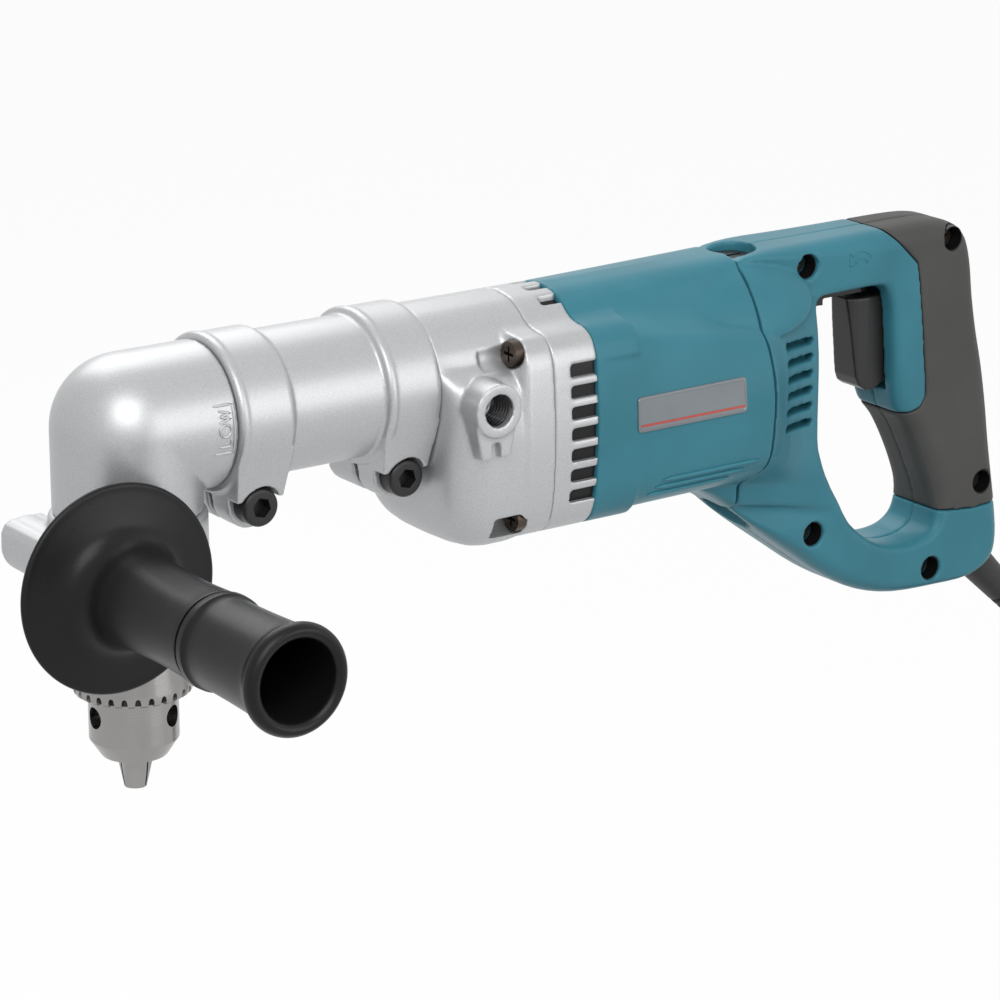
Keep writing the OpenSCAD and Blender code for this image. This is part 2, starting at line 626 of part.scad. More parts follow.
function loop_ring(s) = let (a = [s[0], 0, s[1]], b = [s[2], 0, s[3]], d = unit(b - a), y = [0, -1, 0])
    [a, a + y * (s[4] - s[6]), a + d * s[6] * bevel_share + y * (s[4] - s[6] * bevel_share),
        a + d * s[6] + y * s[4],
        (a + b) / 2 + y * ((s[4] + s[5]) / 2 - hollow_share * abs(s[5] - s[4])),
        b - d * s[7] + y * s[5], b - d * s[7] * bevel_share + y * (s[5] - s[7] * bevel_share),
        b + y * max(s[5] - s[7], 1), b];
module handle_skin() loft([for (s = loop_stations) loop_ring(s)], loop = true);

// The soft cover wraps the rear of the loop over a rigid core
cover_zone = [[345, 40], [351, 28.4], [367.4, 12.8], [369, 4], [374, -37.4], [374.4, -45.3], [371.6, -49.6],
    [366, -51.4], [350, -52], [345, -60], [345, -92], [363, -92.8], [379.5, -97.2], [402, -99.3], [430,
        -98.4], [430, 40]];
core_outline = [[350, 23], [383, 24.4], [392, 20.4], [396.4, 11], [399.2, -6], [402.4, -22], [406, -37],
    [409.2, -54],
    [411.8, -72], [413.6, -88], [414.6, -104], [388, -104], [386.6, -90], [382, -76], [377, -64], [371,
        -55], [365, -46],
    [362, -38], [360, 0]];
core_half = 11.5;
module cover_cut(y0, y1, core) difference() {
    side_plate(cover_zone, y0, y1);
    side_plate(core_outline, -core, core);
}

handle_screw_spots = [[308.4, 19.6], [387, 20.4], [408, -88.6], [380, -122], [314.9, -95]];
handle_screw_r = 2;
handle_head_r = 4;
handle_recess_r = 4.8;
handle_head_y = -9;
handle_head_h = 3;
handle_screw_y1 = 11;

guard_root = [412, 0, -123];
guard_end = [446, 0, -156];
guard_dir = unit(guard_end - guard_root);
guard_len = norm(guard_end - guard_root);
guard_tail = 15;
guard_tail_r = 6.4;
module at_guard() translate(guard_root) rotate([0, acos(guard_dir[2]), 0]) children();

switch_box = [[366, 388], [-8.5, 8.5], [-40, 8]];
lever_pivot_x = 346;
lever_pin_r = 2.2;
lever_z = [1.2, 5.4];
lever_gap = 0.4;

module cap_recesses() {
    rod_z(cap_top - cap_h, cap_top + 8, cap_recess_r, brush_x);
    rod_z(-100, cap_foot + cap_h, cap_recess_r, brush_x);
}

// Rooms inside both handle halves
module handle_rooms() {
    rod_x(handle_x0 - through, commutator_x1 + 2, commutator_d / 2 + 5, 0, motor_z);
    rod_x(commutator_x1, tail_bearing_x0 + tail_bearing_w + 0.2, tail_bearing_r + seat_fit, 0, motor_z);
    rod_z(cap_foot + 1, cap_top - cap_h, holder_r + seat_fit, brush_x);
    cap_recesses();
    block(switch_box[0][0] - 0.1, switch_box[0][1] + 0.1, switch_box[1][0] - 0.1, switch_box[1][1] + 0.1,
        switch_box[2][0] - 0.1, switch_box[2][1] + 0.1);
    block(340, switch_box[0][0], -trigger_w / 2 - 0.5, trigger_w / 2 + 0.5, -42, 3);
    block(340, 353, -trigger_w / 2 - 0.5, trigger_w / 2 + 0.5, 0, lever_z[1] + lever_gap);
    rod_z(0, 14, lever_pin_r + run_fit, lever_pivot_x);
    at_guard() translate([0, 0, -guard_tail]) cylinder(r = guard_tail_r + seat_fit, h = guard_tail + 14);
    at_guard() translate([0, 0, 0]) cylinder(r = guard_root_d / 2 + 0.4, h = 20);
}

louvre_count = 6;
louvre_pitch = 6.86;
module handle_louvres() for (i = [0:louvre_count - 1])
    translate([288.5, -60, -10.3 - i * louvre_pitch]) rotate([0, 6, 0]) cube([23, 50, 3]);

module half_space(s) block(200, 460, s < 0 ? -80 : 0, s < 0 ? 0 : 80, -160, 60);

module handle_left() color(blue) part_frame() difference() {
    union() {
        handle_skin();
        mirror([0, 1, 0]) flank_swell(handle_x0, handle_x0 + 40);
    }
    cover_cut(-40, 40, core_half);
    handle_rooms();
    handle_louvres();
    for (s = handle_screw_spots) {
        rod_y(-40, handle_head_y + handle_head_h, handle_recess_r, s[0], s[1]);
        rod_y(-40, through, handle_screw_r + 0.2, s[0], s[1]);
    }
}

module handle_right() color(blue) part_frame() difference() {
    union() {
        mirror([0, 1, 0]) handle_skin();
        flank_swell(handle_x0, handle_x0 + 40);
    }
    cover_cut(-40, 40, core_half);
    handle_rooms();
    mirror([0, 1, 0]) handle_louvres();
    for (s = handle_screw_spots) rod_y(-through, handle_screw_y1 + 0.5, handle_screw_r + seat_fit, s[0],
        s[1]);
}

module cover_half() intersection() {
    handle_skin();
    cover_cut(-40, 0, core_half);
}

module grip_left() color(soft_grey) part_frame() difference() {
    cover_half();
    for (s = handle_screw_spots) rod_y(-40, through, handle_recess_r, s[0], s[1]);
}

module grip_right() color(soft_grey) part_frame() mirror([0, 1, 0]) cover_half();

module handle_screws() color(screw_brown) part_frame() for (s = handle_screw_spots) difference() {
    union() {
        rod_y(handle_head_y, handle_screw_y1, handle_screw_r, s[0], s[1]);
        rod_y(handle_head_y, handle_head_y + handle_head_h, handle_head_r, s[0], s[1]);
    }
    for (a = [0, 90]) translate([s[0], handle_head_y - through, s[1]]) rotate([0, a, 0])
        translate([-2.4, 0, -0.5]) cube([4.8, through + 1.5, 1]);
}

plunger_r = 2.6;
plunger_reach = 3.6;
module switch_body() color(black) part_frame() difference() {
    block(switch_box[0][0], switch_box[0][1], switch_box[1][0], switch_box[1][1], switch_box[2][0],
        switch_box[2][1]);
    rod_x(switch_box[0][0] - through, switch_box[0][0] + plunger_reach + trigger_pull + 2,
        plunger_r + run_fit, 0, -16);
}

trigger_outline = [[339.4, -0.6], [340.4, -8], [341.8, -18], [343, -28], [344, -35], [345.6, -38.6],
    [348.6, -40.6], [354, -40.6], [358, -38], [358, -0.6]];
trigger_nose = [[338, 0.42], [339.4, 0.62], [341.4, 0.8], [344.4, 0.93], [348.4, 1], [360, 1]];
module trigger() color(black) part_frame() {
    intersection() {
        side_plate(trigger_outline, -trigger_w / 2, trigger_w / 2);
        translate([0, 0, -50]) linear_extrude(60) polygon(concat([for (p = trigger_nose) [p[0],
            p[1] * trigger_w / 2]],
            [for (i = [len(trigger_nose) - 1:-1:0]) [trigger_nose[i][0],
                -trigger_nose[i][1] * trigger_w / 2]]));
    }
    rod_x(357.9, switch_box[0][0] + plunger_reach, plunger_r, 0, -16);
}

lever_plan = [[319.4, 3.4], [322, 4.6], [346, 6], [351, 4]];
lever_tab = [[319.4, 3.4], [322, 4.6], [327, 4.85]];
tab_drop = 2.8;
function both_sides(p) = concat(p, [for (i = [len(p) - 1:-1:0]) [p[i][0], -p[i][1]]]);
module reversing_lever() color(black) part_frame() {
    linear_extrude_at(lever_z[0], lever_z[1]) polygon(both_sides(lever_plan));
    linear_extrude_at(lever_z[0] - tab_drop, lever_z[0] + 0.1) polygon(both_sides(lever_tab));
    rod_z(lever_z[1] - 0.1, 13, lever_pin_r, lever_pivot_x);
}
module linear_extrude_at(z0, z1) translate([0, 0, z0]) linear_extrude(z1 - z0) children();

guard_ribs = 3;
module cord_guard() color(black) part_frame() at_guard() {
    translate([0, 0, -guard_tail]) cylinder(r = guard_tail_r, h = guard_tail + 0.1);
    difference() {
        cylinder(r1 = guard_root_d / 2, r2 = guard_tip_d / 2, h = guard_len);
        for (i = [0:guard_ribs - 1]) translate([0, 0, guard_len * (0.7 + 0.1 * i)]) rotate_extrude()
            translate([guard_tip_d / 2 - 0.2, 0]) square([4, guard_len * 0.05]);
    }
}

// Joint sleeve with a split clamp band at each end
band_centres = [sleeve_x0 + band_w / 2, sleeve_x1 - band_w / 2];
seat_depth = 6.5;
seat_rise = 3;
ear_seat_y = ear_w / 2 - seat_depth;
ear_back = 1.4;
// Section of a band's ears: straight walls that run off the ring as tangents down to the bolt
ear_point = [ear_w / 2, -bolt_drop];
ear_turn = atan2(ear_point[1], ear_point[0]) + acos(band_d / 2 / norm(ear_point));
ear_start = band_d / 2 * [cos(ear_turn), sin(ear_turn)];
ear_side = [ear_start, ear_point, ear_point - [0, ear_r]];
ear_section = concat(ear_side, [for (i = [2:-1:0]) [-ear_side[i][0], ear_side[i][1]]]);
module clamp_band(x) {
    rod_x(x - band_w / 2, x + band_w / 2, band_d / 2);
    intersection() {
        translate([x - band_w / 2, 0, 0]) rotate([90, 0, 90]) linear_extrude(band_w) polygon(ear_section);
        union() {
            rod_y(-band_d, band_d, ear_r, x + ear_back, -bolt_drop);
            side_plate([[x - band_w / 2, 0], [x - band_w / 2, -14], [x + ear_back - ear_r, -bolt_drop],
                [x + ear_back + ear_r, -bolt_drop], [x + band_w / 2, -14], [x + band_w / 2, 0]],
                -band_d, band_d);
        }
    }
}
module joint_sleeve() color(casting) part_frame() difference() {
    union() {
        rod_x(sleeve_x0, sleeve_x1, sleeve_d / 2);
        for (x = band_centres) clamp_band(x);
    }
    rod_x(sleeve_x0 - through, sleeve_x1 + through, spigot_r + run_fit);
    for (x = band_centres) {
        block(x - band_w / 2 - through, x + band_w / 2 + through, -slit_w / 2, slit_w / 2,
            -bolt_drop - ear_r - through, -10);
        rod_y(-ear_w, ear_w, bolt_d / 2 + 0.2, x + ear_back, -bolt_drop);
        rod_y(-ear_w * 2, -ear_seat_y, bolt_head_d / 2 + 1, x + ear_back, -bolt_drop);
        block(x - band_w, x + band_w, -ear_w, -ear_seat_y, -bolt_drop - ear_r - through,
            seat_rise - bolt_drop);
    }
}

hex_key = 7;
module clamp_bolts() color(black) part_frame() for (b = band_centres) let (x = b + ear_back) difference() {
    union() {
        rod_y(-ear_seat_y - bolt_head_h, -ear_seat_y, bolt_head_d / 2, x, -bolt_drop);
        rod_y(-ear_seat_y - 0.01, ear_w / 2 + 2, bolt_d / 2, x, -bolt_drop);
    }
    translate([x, -ear_seat_y - bolt_head_h - through, -bolt_drop]) rotate([-90, 0, 0])
        cylinder(d = hex_key / cos(30), h = 5 + through, $fn = 6);
}

// Angle head: elbow with a spigot on each leg
elbow_bend = leg_reach - 0.4;
head_bearing_x0 = leg_reach + 2;
head_bearing_w = 12;
ring_w = 4;
module angle_head() color(casting) part_frame() difference() {
    union() {
        sphere(r = leg_r);
        for (a = [0, 90]) rotate([0, a, 0]) {
            rod_x(0, leg_reach, leg_r);
            rod_x(leg_reach - through, leg_reach + face_gap + spigot_len, spigot_r);
        }
    }
    sphere(r = elbow_hollow_r);
    for (a = [0, 90]) rotate([0, a, 0]) {
        rod_x(0, head_bearing_x0 + 0.01, head_bore_r - 0.8);
        rod_x(head_bearing_x0, leg_reach + face_gap + spigot_len + through, head_bore_r + seat_fit);
    }
}

pinion_shaft_r = 8;
spindle_r = 8.5;
module head_bearings() color(steel) part_frame() {
    bearing_x(head_bearing_x0, head_bearing_x0 + head_bearing_w, head_bore_r, pinion_shaft_r + run_fit);
    rotate([0, 90, 0]) bearing_x(head_bearing_x0, head_bearing_x0 + head_bearing_w, head_bore_r,
        spindle_r + run_fit);
}

module bearing_rings() color(bright) part_frame() for (a = [0, 90]) rotate([0, a, 0])
    ring_x(head_bearing_x0 + head_bearing_w, head_bearing_x0 + head_bearing_w + ring_w,
        head_bore_r - seat_fit, spindle_r + 3);

// Collar on the lower leg with a threaded cross boss in front
base_z0 = -leg_reach - face_gap - spigot_len + 0.6;
base_z1 = -leg_reach - face_gap;
base_r = 29.6;
module grip_base() color(casting) part_frame() difference() {
    union() {
        rod_z(base_z0, base_z1, base_r);
        rod_y(-cross_boss_half, cross_boss_half, cross_boss_d / 2, -side_x, -side_drop);
        block(-side_x, 0, -22, 22, base_z0, -side_drop + cross_boss_d / 2);
    }
    rod_z(base_z0 - through, base_z1 + through, spigot_r + seat_fit);
    mirror_y() rod_y(cross_boss_half - side_thread_len, cross_boss_half + through, side_thread_d / 2,
        -side_x, -side_drop);
}

// Side handle turned about its own axis; the profile is [radius, distance from the head]
stud_socket = 18;
module side_handle() color(black) part_frame() translate([-side_x, -cross_boss_half - face_gap,
    -side_drop]) rotate([90, 0, 0])
    difference() {
        rotate_extrude() polygon([[0, 0], [guard_disc_d / 2 - 3, 0], [guard_disc_d / 2 - 0.8, 0.6],
            [guard_disc_d / 2, 2], [guard_disc_d / 2 - 0.8, 3.2], [guard_disc_d / 2 - 4, 3.6], [26, 5.6],
                [21.6, 8.4],
            [19, 13], [18, 19], [side_grip_d / 2 - 0.2, 27], [side_grip_d / 2 - 0.9, 48], [side_grip_d / 2,
                70],
            [side_grip_d / 2 + 0.5, 71.6], [side_grip_d / 2 + 0.5, 74.4], [side_grip_d / 2 - 0.6, 76],
            [side_grip_d / 2 - 0.4, 96], [side_grip_d / 2 + 0.4, side_len - 9], [side_rim_d / 2 - 0.8,
                side_len - 6.5],
            [side_rim_d / 2, side_len - 4], [side_rim_d / 2 - 0.8, side_len - 1.4], [side_rim_d / 2 - 2.6,
                side_len],
            [0, side_len]]);
        translate([0, 0, side_len - side_hole_len]) cylinder(d = side_hole_d, h = side_hole_len + through);
        translate([0, 0, -through]) cylinder(r = side_thread_d / 2 + seat_fit, h = stud_socket + through);
    }

module handle_stud() color(steel) part_frame()
    rod_y(-cross_boss_half - face_gap - stud_socket + 0.2, -cross_boss_half + side_thread_len - 1,
        side_thread_d / 2 - seat_fit,
        -side_x, -side_drop);

// Straight bevel pair with a common apex at the elbow's middle
pinion_half = atan(pinion_teeth / bevel_teeth);
cone_add = 2.2;
pinion_r = (elbow_hollow_r - bevel_clear) / norm([tan(90 - pinion_half + cone_add), 1]);
pinion_neck_r = pinion_r * 0.8;
pinion_back = pinion_r / tan(pinion_half);
bevel_back = pinion_r;
cone_ded = 3.6;
face_share = 0.36;
function bevel_points(teeth, back, half, turn) = [for (i = [0:teeth - 1], c = [[-0.3, -cone_ded], [-0.12,
    cone_add],
    [0.12, cone_add], [0.3, -cone_ded]])
    let (a = turn + 360 / teeth * (i + c[0]), q = back * tan(half + c[1])) q * [cos(a), sin(a)]];
module bevel_blank(teeth, back, half, turn) translate([0, 0, back]) mirror([0, 0, 1])
    linear_extrude(back * face_share, scale = 1 - face_share) polygon(bevel_points(teeth, back, half, turn));

module bevel_pinion() color("darkgray") part_frame() {
    rotate([0, 90, 0]) bevel_blank(pinion_teeth, pinion_back, pinion_half, 0);
    rod_x(pinion_back - 0.01, pinion_back + 4, pinion_neck_r);
    rod_x(pinion_back + 3.5, head_bearing_x0 + head_bearing_w + ring_w + 4, pinion_shaft_r);
    rod_x(head_bearing_x0 + head_bearing_w + ring_w + 3.9, socket_x1 - 2.4, tongue_r);
}

bevel_turn = 180 / bevel_teeth;
spindle_end = -86;
module bevel_gear() color("darkgray") part_frame() difference() {
    union() {
        rotate([180, 0, 0]) bevel_blank(bevel_teeth, bevel_back, 90 - pinion_half, bevel_turn);
        rod_z(-leg_reach - 1.8, -bevel_back + 0.01, head_bore_r - 6);
    }
    rod_z(-40, 0, spindle_r);
}

flange_z = -leg_reach - face_gap - spigot_len - 8;
module spindle() color(steel) part_frame() {
    rod_z(spindle_end, -6.6, spindle_r);
    rod_z(flange_z - 4, flange_z, 12);
}

// Keyed chuck
chuck_top = flange_z - 4 - face_gap;
ring_foot = -104;
body_foot = -120;
nose_z = -130;
nose_r = 11;
jaw_nose_r = 3.1;
ring_r = ring_d / 2;
chuck_r = chuck_d / 2;
upper_r = 18.75;
ring_in = 19.05;
nut_z0 = -99;
nut_z1 = -93;
nut_gap = 0.25;
jaw_r = jaw_d / 2;
jaw_end = -101;
jaw_gap = 0.5;
jaw_bore_gap = 0.1;
jaw_bore_len = (jaw_end - nose_z) / cos(jaw_tilt) + jaw_travel + 0.5;
key_hole_r = 3.9;
key_hole_z = -110;
key_hole_in = 8;
chuck_turn = 54.7;
nose_bore_r = 5.4;
// Outer reach of the jaws at a height, the same wherever they stand in their bores
function jaw_reach(z) = jaw_nose_r + (z - nose_z) * tan(jaw_tilt) + jaw_r / cos(jaw_tilt);
module jaw_place(i) rotate([0, 0, i * 120 + chuck_turn + 60]) translate([jaw_nose_r, 0, nose_z])
    rotate([0, jaw_tilt, 0]) children();
module chuck_body() color(bright) part_frame() difference() {
    rotate_extrude() polygon([[0, chuck_top], [upper_r, chuck_top], [upper_r, ring_foot], [chuck_r,
        ring_foot],
        [chuck_r, body_foot], [nose_r + 1.6, nose_z + 1], [nose_r, nose_z], [0, nose_z]]);
    rod_z(spindle_end - 0.5, chuck_top + through, spindle_r + seat_fit);
    rod_z(nose_z - through, ring_foot, nose_bore_r);
    for (i = [0:2]) jaw_place(i) translate([0, 0, -20]) cylinder(r = jaw_r + jaw_bore_gap,
        h = 20 + jaw_bore_len);
    ring_z(nut_z0 - nut_gap, nut_z1 + nut_gap, upper_r + 2, jaw_reach(nut_z0) - 1.6);
    for (i = [0:2]) rotate([0, 0, i * 120 + chuck_turn]) rod_x(key_hole_in, chuck_d, key_hole_r, 0,
        key_hole_z);
}

tooth_h = 5;
sleeve_top = chuck_top - 1;
tooth_gap = 2;
module chuck_sleeve() color(steel) part_frame() difference() {
    rotate_extrude() polygon([[ring_in, sleeve_top], [ring_r - 2.2, sleeve_top],
        [ring_r - 1.4, sleeve_top - 1], [ring_r - 1.4, ring_foot + 8], [ring_r, ring_foot + 6],
        [ring_r, ring_foot + 1.2], [ring_r - 0.8, ring_foot + 0.3], [ring_in, ring_foot + 0.3]]);
    for (i = [0:ring_teeth - 1]) rotate([0, 0, i * 360 / ring_teeth])
        translate([chuck_r + 0.6, 0, ring_foot - 1]) rotate([0, 90, 0]) linear_extrude(10)
            polygon([[0, -tooth_gap / 2], [1 - tooth_h, -tooth_gap / 2], [-tooth_h, -0.5], [-tooth_h, 0.5],
                [1 - tooth_h, tooth_gap / 2], [0, tooth_gap / 2]]);
}

module chuck_nut() color(steel) part_frame() rotate_extrude() polygon([[jaw_reach(nut_z0) + nut_gap, nut_z0],
    [ring_in - seat_fit, nut_z0], [ring_in - seat_fit, nut_z1], [jaw_reach(nut_z1) + nut_gap, nut_z1]]);

jaw_wedge = 40;
module chuck_jaw(i) color(bright) part_frame() intersection() {
    jaw_place(i) translate([0, 0, -20]) cylinder(r = jaw_r, h = 20 + (jaw_end - nose_z) / cos(jaw_tilt));
    rotate([0, 0, i * 120 + chuck_turn + 60]) translate([jaw_gap, 0, -tip_drop]) linear_extrude(80)
        polygon([[0, 0], [jaw_wedge * cos(60), jaw_wedge * sin(60)], [2 * jaw_wedge, 0],
            [jaw_wedge * cos(60), -jaw_wedge * sin(60)]]);
}
module chuck_jaw_1() chuck_jaw(0);
module chuck_jaw_2() chuck_jaw(1);
module chuck_jaw_3() chuck_jaw(2);

// Cord: a lead out of the guard, a tied hanging coil and a tail with the plug.
// The coil hangs in an upright plane turned about Z; u runs along that plane and v across it.
coil_turn = 54.7;
coil_at = [480, -4, -286];
coil_u = [cos(coil_turn), sin(coil_turn), 0];
coil_v = [sin(coil_turn), -cos(coil_turn), 0];
coil_layers = 4;
layer_turns = 1.5;
coil_in_r = 38;
coil_start = 45;
loop_rings = 24;
coil_sides = 6;
lead_sides = 8;
coil_out_r = coil_in_r + layer_turns * turn_pitch;
half_turns = coil_layers - 1;
coil_sweep = 360 * (coil_layers * layer_turns + half_turns / 2 + 0.5) + coil_start;
layer_span = 360 * layer_turns;
layer_step = layer_span + 180;
function layer_of(t) = min(floor(t / layer_step), coil_layers - 1);
function coil_r(t) = let (k = layer_of(t), s = (t - k * layer_step) / layer_span, q = k < coil_layers - 1 ?
    min(s, 1) : s)
    k % 2 == 0 ? mix(coil_out_r, coil_in_r, q) : mix(coil_in_r, coil_out_r, q);
function ease(s) = s * s * (3 - 2 * s);
function coil_w(t) = let (k = layer_of(t), s = (t - k * layer_step - layer_span) / 180)
    (k + (k < coil_layers - 1 ? ease(max(0, min(s, 1))) : 0) - (coil_layers - 1) / 2) * turn_pitch;
function coil_point(t) = let (a = coil_start - t)
    coil_at + coil_u * coil_r(t) * cos(a) + coil_v * coil_w(t) + [0, 0, coil_r(t) * sin(a)];
coil_first = unit(coil_point(1) - coil_point(0));
coil_final = [0, 0, -1];
coil_count = ceil(coil_sweep / 360 * loop_rings);
coil_route = [for (i = [0:coil_count]) coil_point(coil_sweep * i / coil_count)];
// Route of the lead from the guard to the coil, and of the tail down to the plug
lead_straight = 10;
lead_reach = [40, 35];
lead_steps = 9;
lead_goal = coil_route[0] - coil_first * lead_straight;
function lead_at(t) = pow(1 - t, 3) * guard_end + 3 * pow(1 - t, 2) * t
    * (guard_end + guard_dir * lead_reach[0])
    + 3 * (1 - t) * t * t * (lead_goal - coil_first * lead_reach[1]) + pow(t, 3) * lead_goal;
lead_route = concat([for (i = [0:lead_steps]) lead_at(i / lead_steps)], [coil_route[0]]);
tail_route = [for (i = [0:5]) coil_route[coil_count] - [0, 0, 8 * i]];

function tangent(p, i) = unit(p[min(i + 1, len(p) - 1)] - p[max(i - 1, 0)]);
function tube_ring(c, t, side, r, n) = let (a = unit(cross(t, side)), b = cross(t, a))
    [for (j = [0:n - 1]) c + r * (cos(360 * j / n) * a + sin(360 * j / n) * b)];
module cord_tube(route, side, n, first, final) loft([for (i = [0:len(route) - 1])
    tube_ring(route[i], i == 0 ? first : i == len(route) - 1 ? final : tangent(route, i), side, cord_d / 2,
        n)]);
module cord_lead() color(black) part_frame() cord_tube(lead_route, coil_v, lead_sides, guard_dir, coil_first);
module cord_coil() color(black) part_frame() cord_tube(coil_route, coil_v, coil_sides, coil_first,
    coil_final);
module cord_tail() color(black) part_frame() cord_tube(tail_route, coil_v, lead_sides, coil_final,
    coil_final);

// Least gap of the coil to itself, measured between points more than half a turn apart
self_gap = min([for (i = [0:2:coil_count], j = [i + loop_rings / 2:coil_count])
    norm(coil_route[i] - coil_route[j])]) - cord_d;
echo(coil_self_gap = self_gap);

tie_w = 14;
tie_t = 1.6;
tie_gap = 0.5;
tie_room = 3;
module cord_tie() color("dimgray") part_frame() translate(coil_at) rotate([0, 0, coil_turn]) difference() {
    block(-tie_w / 2, tie_w / 2, -coil_layers * turn_pitch / 2 - tie_gap - tie_t,
        coil_layers * turn_pitch / 2 + tie_gap + tie_t,
        -coil_out_r - cord_d / 2 - tie_room - tie_t, -coil_in_r + cord_d / 2 + 1 + tie_t);
    block(-tie_w, tie_w, -coil_layers * turn_pitch / 2 - tie_gap, coil_layers * turn_pitch / 2 + tie_gap,
        -coil_out_r - cord_d / 2 - tie_room, -coil_in_r + cord_d / 2 + 1);
}

plug_len = 38;
plug_r = 13;
pin_r = 2.4;
pin_gap = 19;
pin_len = 19;
module plug() color(black) part_frame() translate(tail_route[5]) rotate([180, 0, coil_turn]) {
    rotate_extrude() polygon([[0, 0], [cord_d / 2 + 1.4, 0], [cord_d / 2 + 2.4, 12], [plug_r - 2, 20],
        [plug_r, 25],
        [plug_r, plug_len - 1.5], [plug_r - 1.5, plug_len], [0, plug_len]]);
    for (s = [-1, 1]) translate([s * pin_gap / 2, 0, plug_len - 0.1]) cylinder(r = pin_r, h = pin_len);
}

gear_housing();
fan_casing();
gear_plate();
housing_screws();
motor_housing();
handle_left();
handle_right();
grip_left();
grip_right();
handle_screws();
switch_body();
cord_guard();
stator_core();
field_coils();
brush_holders();
carbon_brushes();
brush_caps();
shaft_bearings();
joint_sleeve();
clamp_bolts();
armature_shaft();
rotor_core();
rotor_windings();
commutator();
cooling_fan();
intermediate_shaft();
intermediate_gear();
output_shaft();
output_gear();
angle_head();
head_bearings();
bearing_rings();
grip_base();
side_handle();
handle_stud();
bevel_pinion();
bevel_gear();
spindle();
chuck_body();
chuck_sleeve();
chuck_nut();
chuck_jaw_1();
chuck_jaw_2();
chuck_jaw_3();
trigger();
reversing_lever();
cord_lead();
cord_coil();
cord_tail();
cord_tie();
plug();
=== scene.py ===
import bmesh
import bpy
from math import acos, atan2, ceil, cos, hypot, pi, radians, sin, sqrt
from mathutils import Matrix, Vector


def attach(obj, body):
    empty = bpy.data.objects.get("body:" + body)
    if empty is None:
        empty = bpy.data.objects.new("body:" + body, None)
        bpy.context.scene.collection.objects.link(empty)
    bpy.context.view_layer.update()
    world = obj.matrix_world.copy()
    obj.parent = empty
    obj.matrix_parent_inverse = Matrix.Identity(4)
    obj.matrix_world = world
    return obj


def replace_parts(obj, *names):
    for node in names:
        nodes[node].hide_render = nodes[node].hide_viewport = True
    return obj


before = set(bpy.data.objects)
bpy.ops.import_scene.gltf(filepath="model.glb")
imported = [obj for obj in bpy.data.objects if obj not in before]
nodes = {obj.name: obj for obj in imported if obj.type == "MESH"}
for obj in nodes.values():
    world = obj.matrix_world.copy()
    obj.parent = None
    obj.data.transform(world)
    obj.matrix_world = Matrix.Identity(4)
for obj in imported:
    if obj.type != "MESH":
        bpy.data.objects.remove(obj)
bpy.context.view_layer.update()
print("frame loaded:", len(nodes), "nodes")

mm = 0.001
gripX = 392.0  # spindle axis to the middle of the grip
gripDrop = 62.0


def place(p):  # working axes in mm to the part's own metres
    return Vector(((p[0] - gripX) * mm, p[1] * mm, (p[2] + gripDrop) * mm))


def turn(v):
    return Vector(v).normalized()


def mix(a, b, t):
    return [x + (y - x) * t for x, y in zip(a, b)]


def curveThrough(values, steps, closed=False):  # smooth run of number lists through the given ones
    n = len(values)
    out = []
    for i in range(n if closed else n - 1):
        p = [values[(i + k) % n] if closed else values[min(max(i + k, 0), n - 1)] for k in (-1, 0, 1, 2)]
        for s in range(steps):
            t = s / steps
            out.append([0.5 * (2 * b + (c - a) * t + (2 * a - 5 * b + 4 * c - d) * t * t
                               + (3 * b - a - 3 * c + d) * t ** 3) for a, b, c, d in zip(*p)])
    return out if closed else out + [list(values[-1])]


# camera at the photo's angle
photoView = {"right": (0.816, -0.578, 0.0), "up": (0.1707, 0.241, 0.9554), "back": (-0.552, -0.780, 0.295),
             "across": 137.1, "rise": -26.84, "away": 1464.3, "lens": 144.0, "sensor": 36.0, "clip": 20.0}


def addCamera():
    v = photoView
    back = turn(v["back"])
    right = turn(Vector(v["up"]).cross(back))
    up = back.cross(right)
    spot = [v["across"] * r + v["rise"] * u + v["away"] * b for r, u, b in zip(v["right"], v["up"], v["back"])]
    camera = bpy.data.cameras.new("camera")
    camera.lens, camera.sensor_width, camera.clip_end = v["lens"], v["sensor"], v["clip"]
    obj = bpy.data.objects.new("camera", camera)
    obj.matrix_world = Matrix.Translation(place(spot)) @ Matrix((right, up, back)).transposed().to_4x4()
    bpy.context.scene.collection.objects.link(obj)
    bpy.context.scene.camera = obj


addCamera()
print("camera set")


# finishes
def setInputs(node, *values):  # plain inputs by name
    for name, value in values:
        node.inputs[name].default_value = value
    return node


def addNode(tree, kind, *values):
    return setInputs(tree.nodes.new(kind), *values)


def wire(tree, *pairs):
    for out, into in pairs:
        tree.links.new(out, into)


def setRamp(ramp, stops):  # stops as (position, colour)
    made = ramp.color_ramp.elements
    while len(made) < len(stops):
        made.new(0.5)
    for stop, (spot, colour) in zip(made, stops):
        stop.position = spot
        stop.color = (*colour, 1)


def newFinish(name, colour, rough, metal=0.0, shine=0.5):
    mat = bpy.data.materials.new(name)
    mat.use_nodes = True
    shader = mat.node_tree.nodes["Principled BSDF"]
    setInputs(shader, ("Base Color", (*colour, 1)), ("Roughness", rough), ("Metallic", metal),
              ("Specular IOR Level", shine))
    return mat, mat.node_tree, shader


def noiseAt(tree, scale, detail, stretch=(1, 1, 1)):
    coords = addNode(tree, "ShaderNodeTexCoord")
    mapping = addNode(tree, "ShaderNodeMapping", ("Scale", stretch))
    noise = addNode(tree, "ShaderNodeTexNoise", ("Scale", scale), ("Detail", detail))
    wire(tree, (coords.outputs["Object"], mapping.inputs["Vector"]),
         (mapping.outputs["Vector"], noise.inputs["Vector"]))
    return noise.outputs["Fac"]


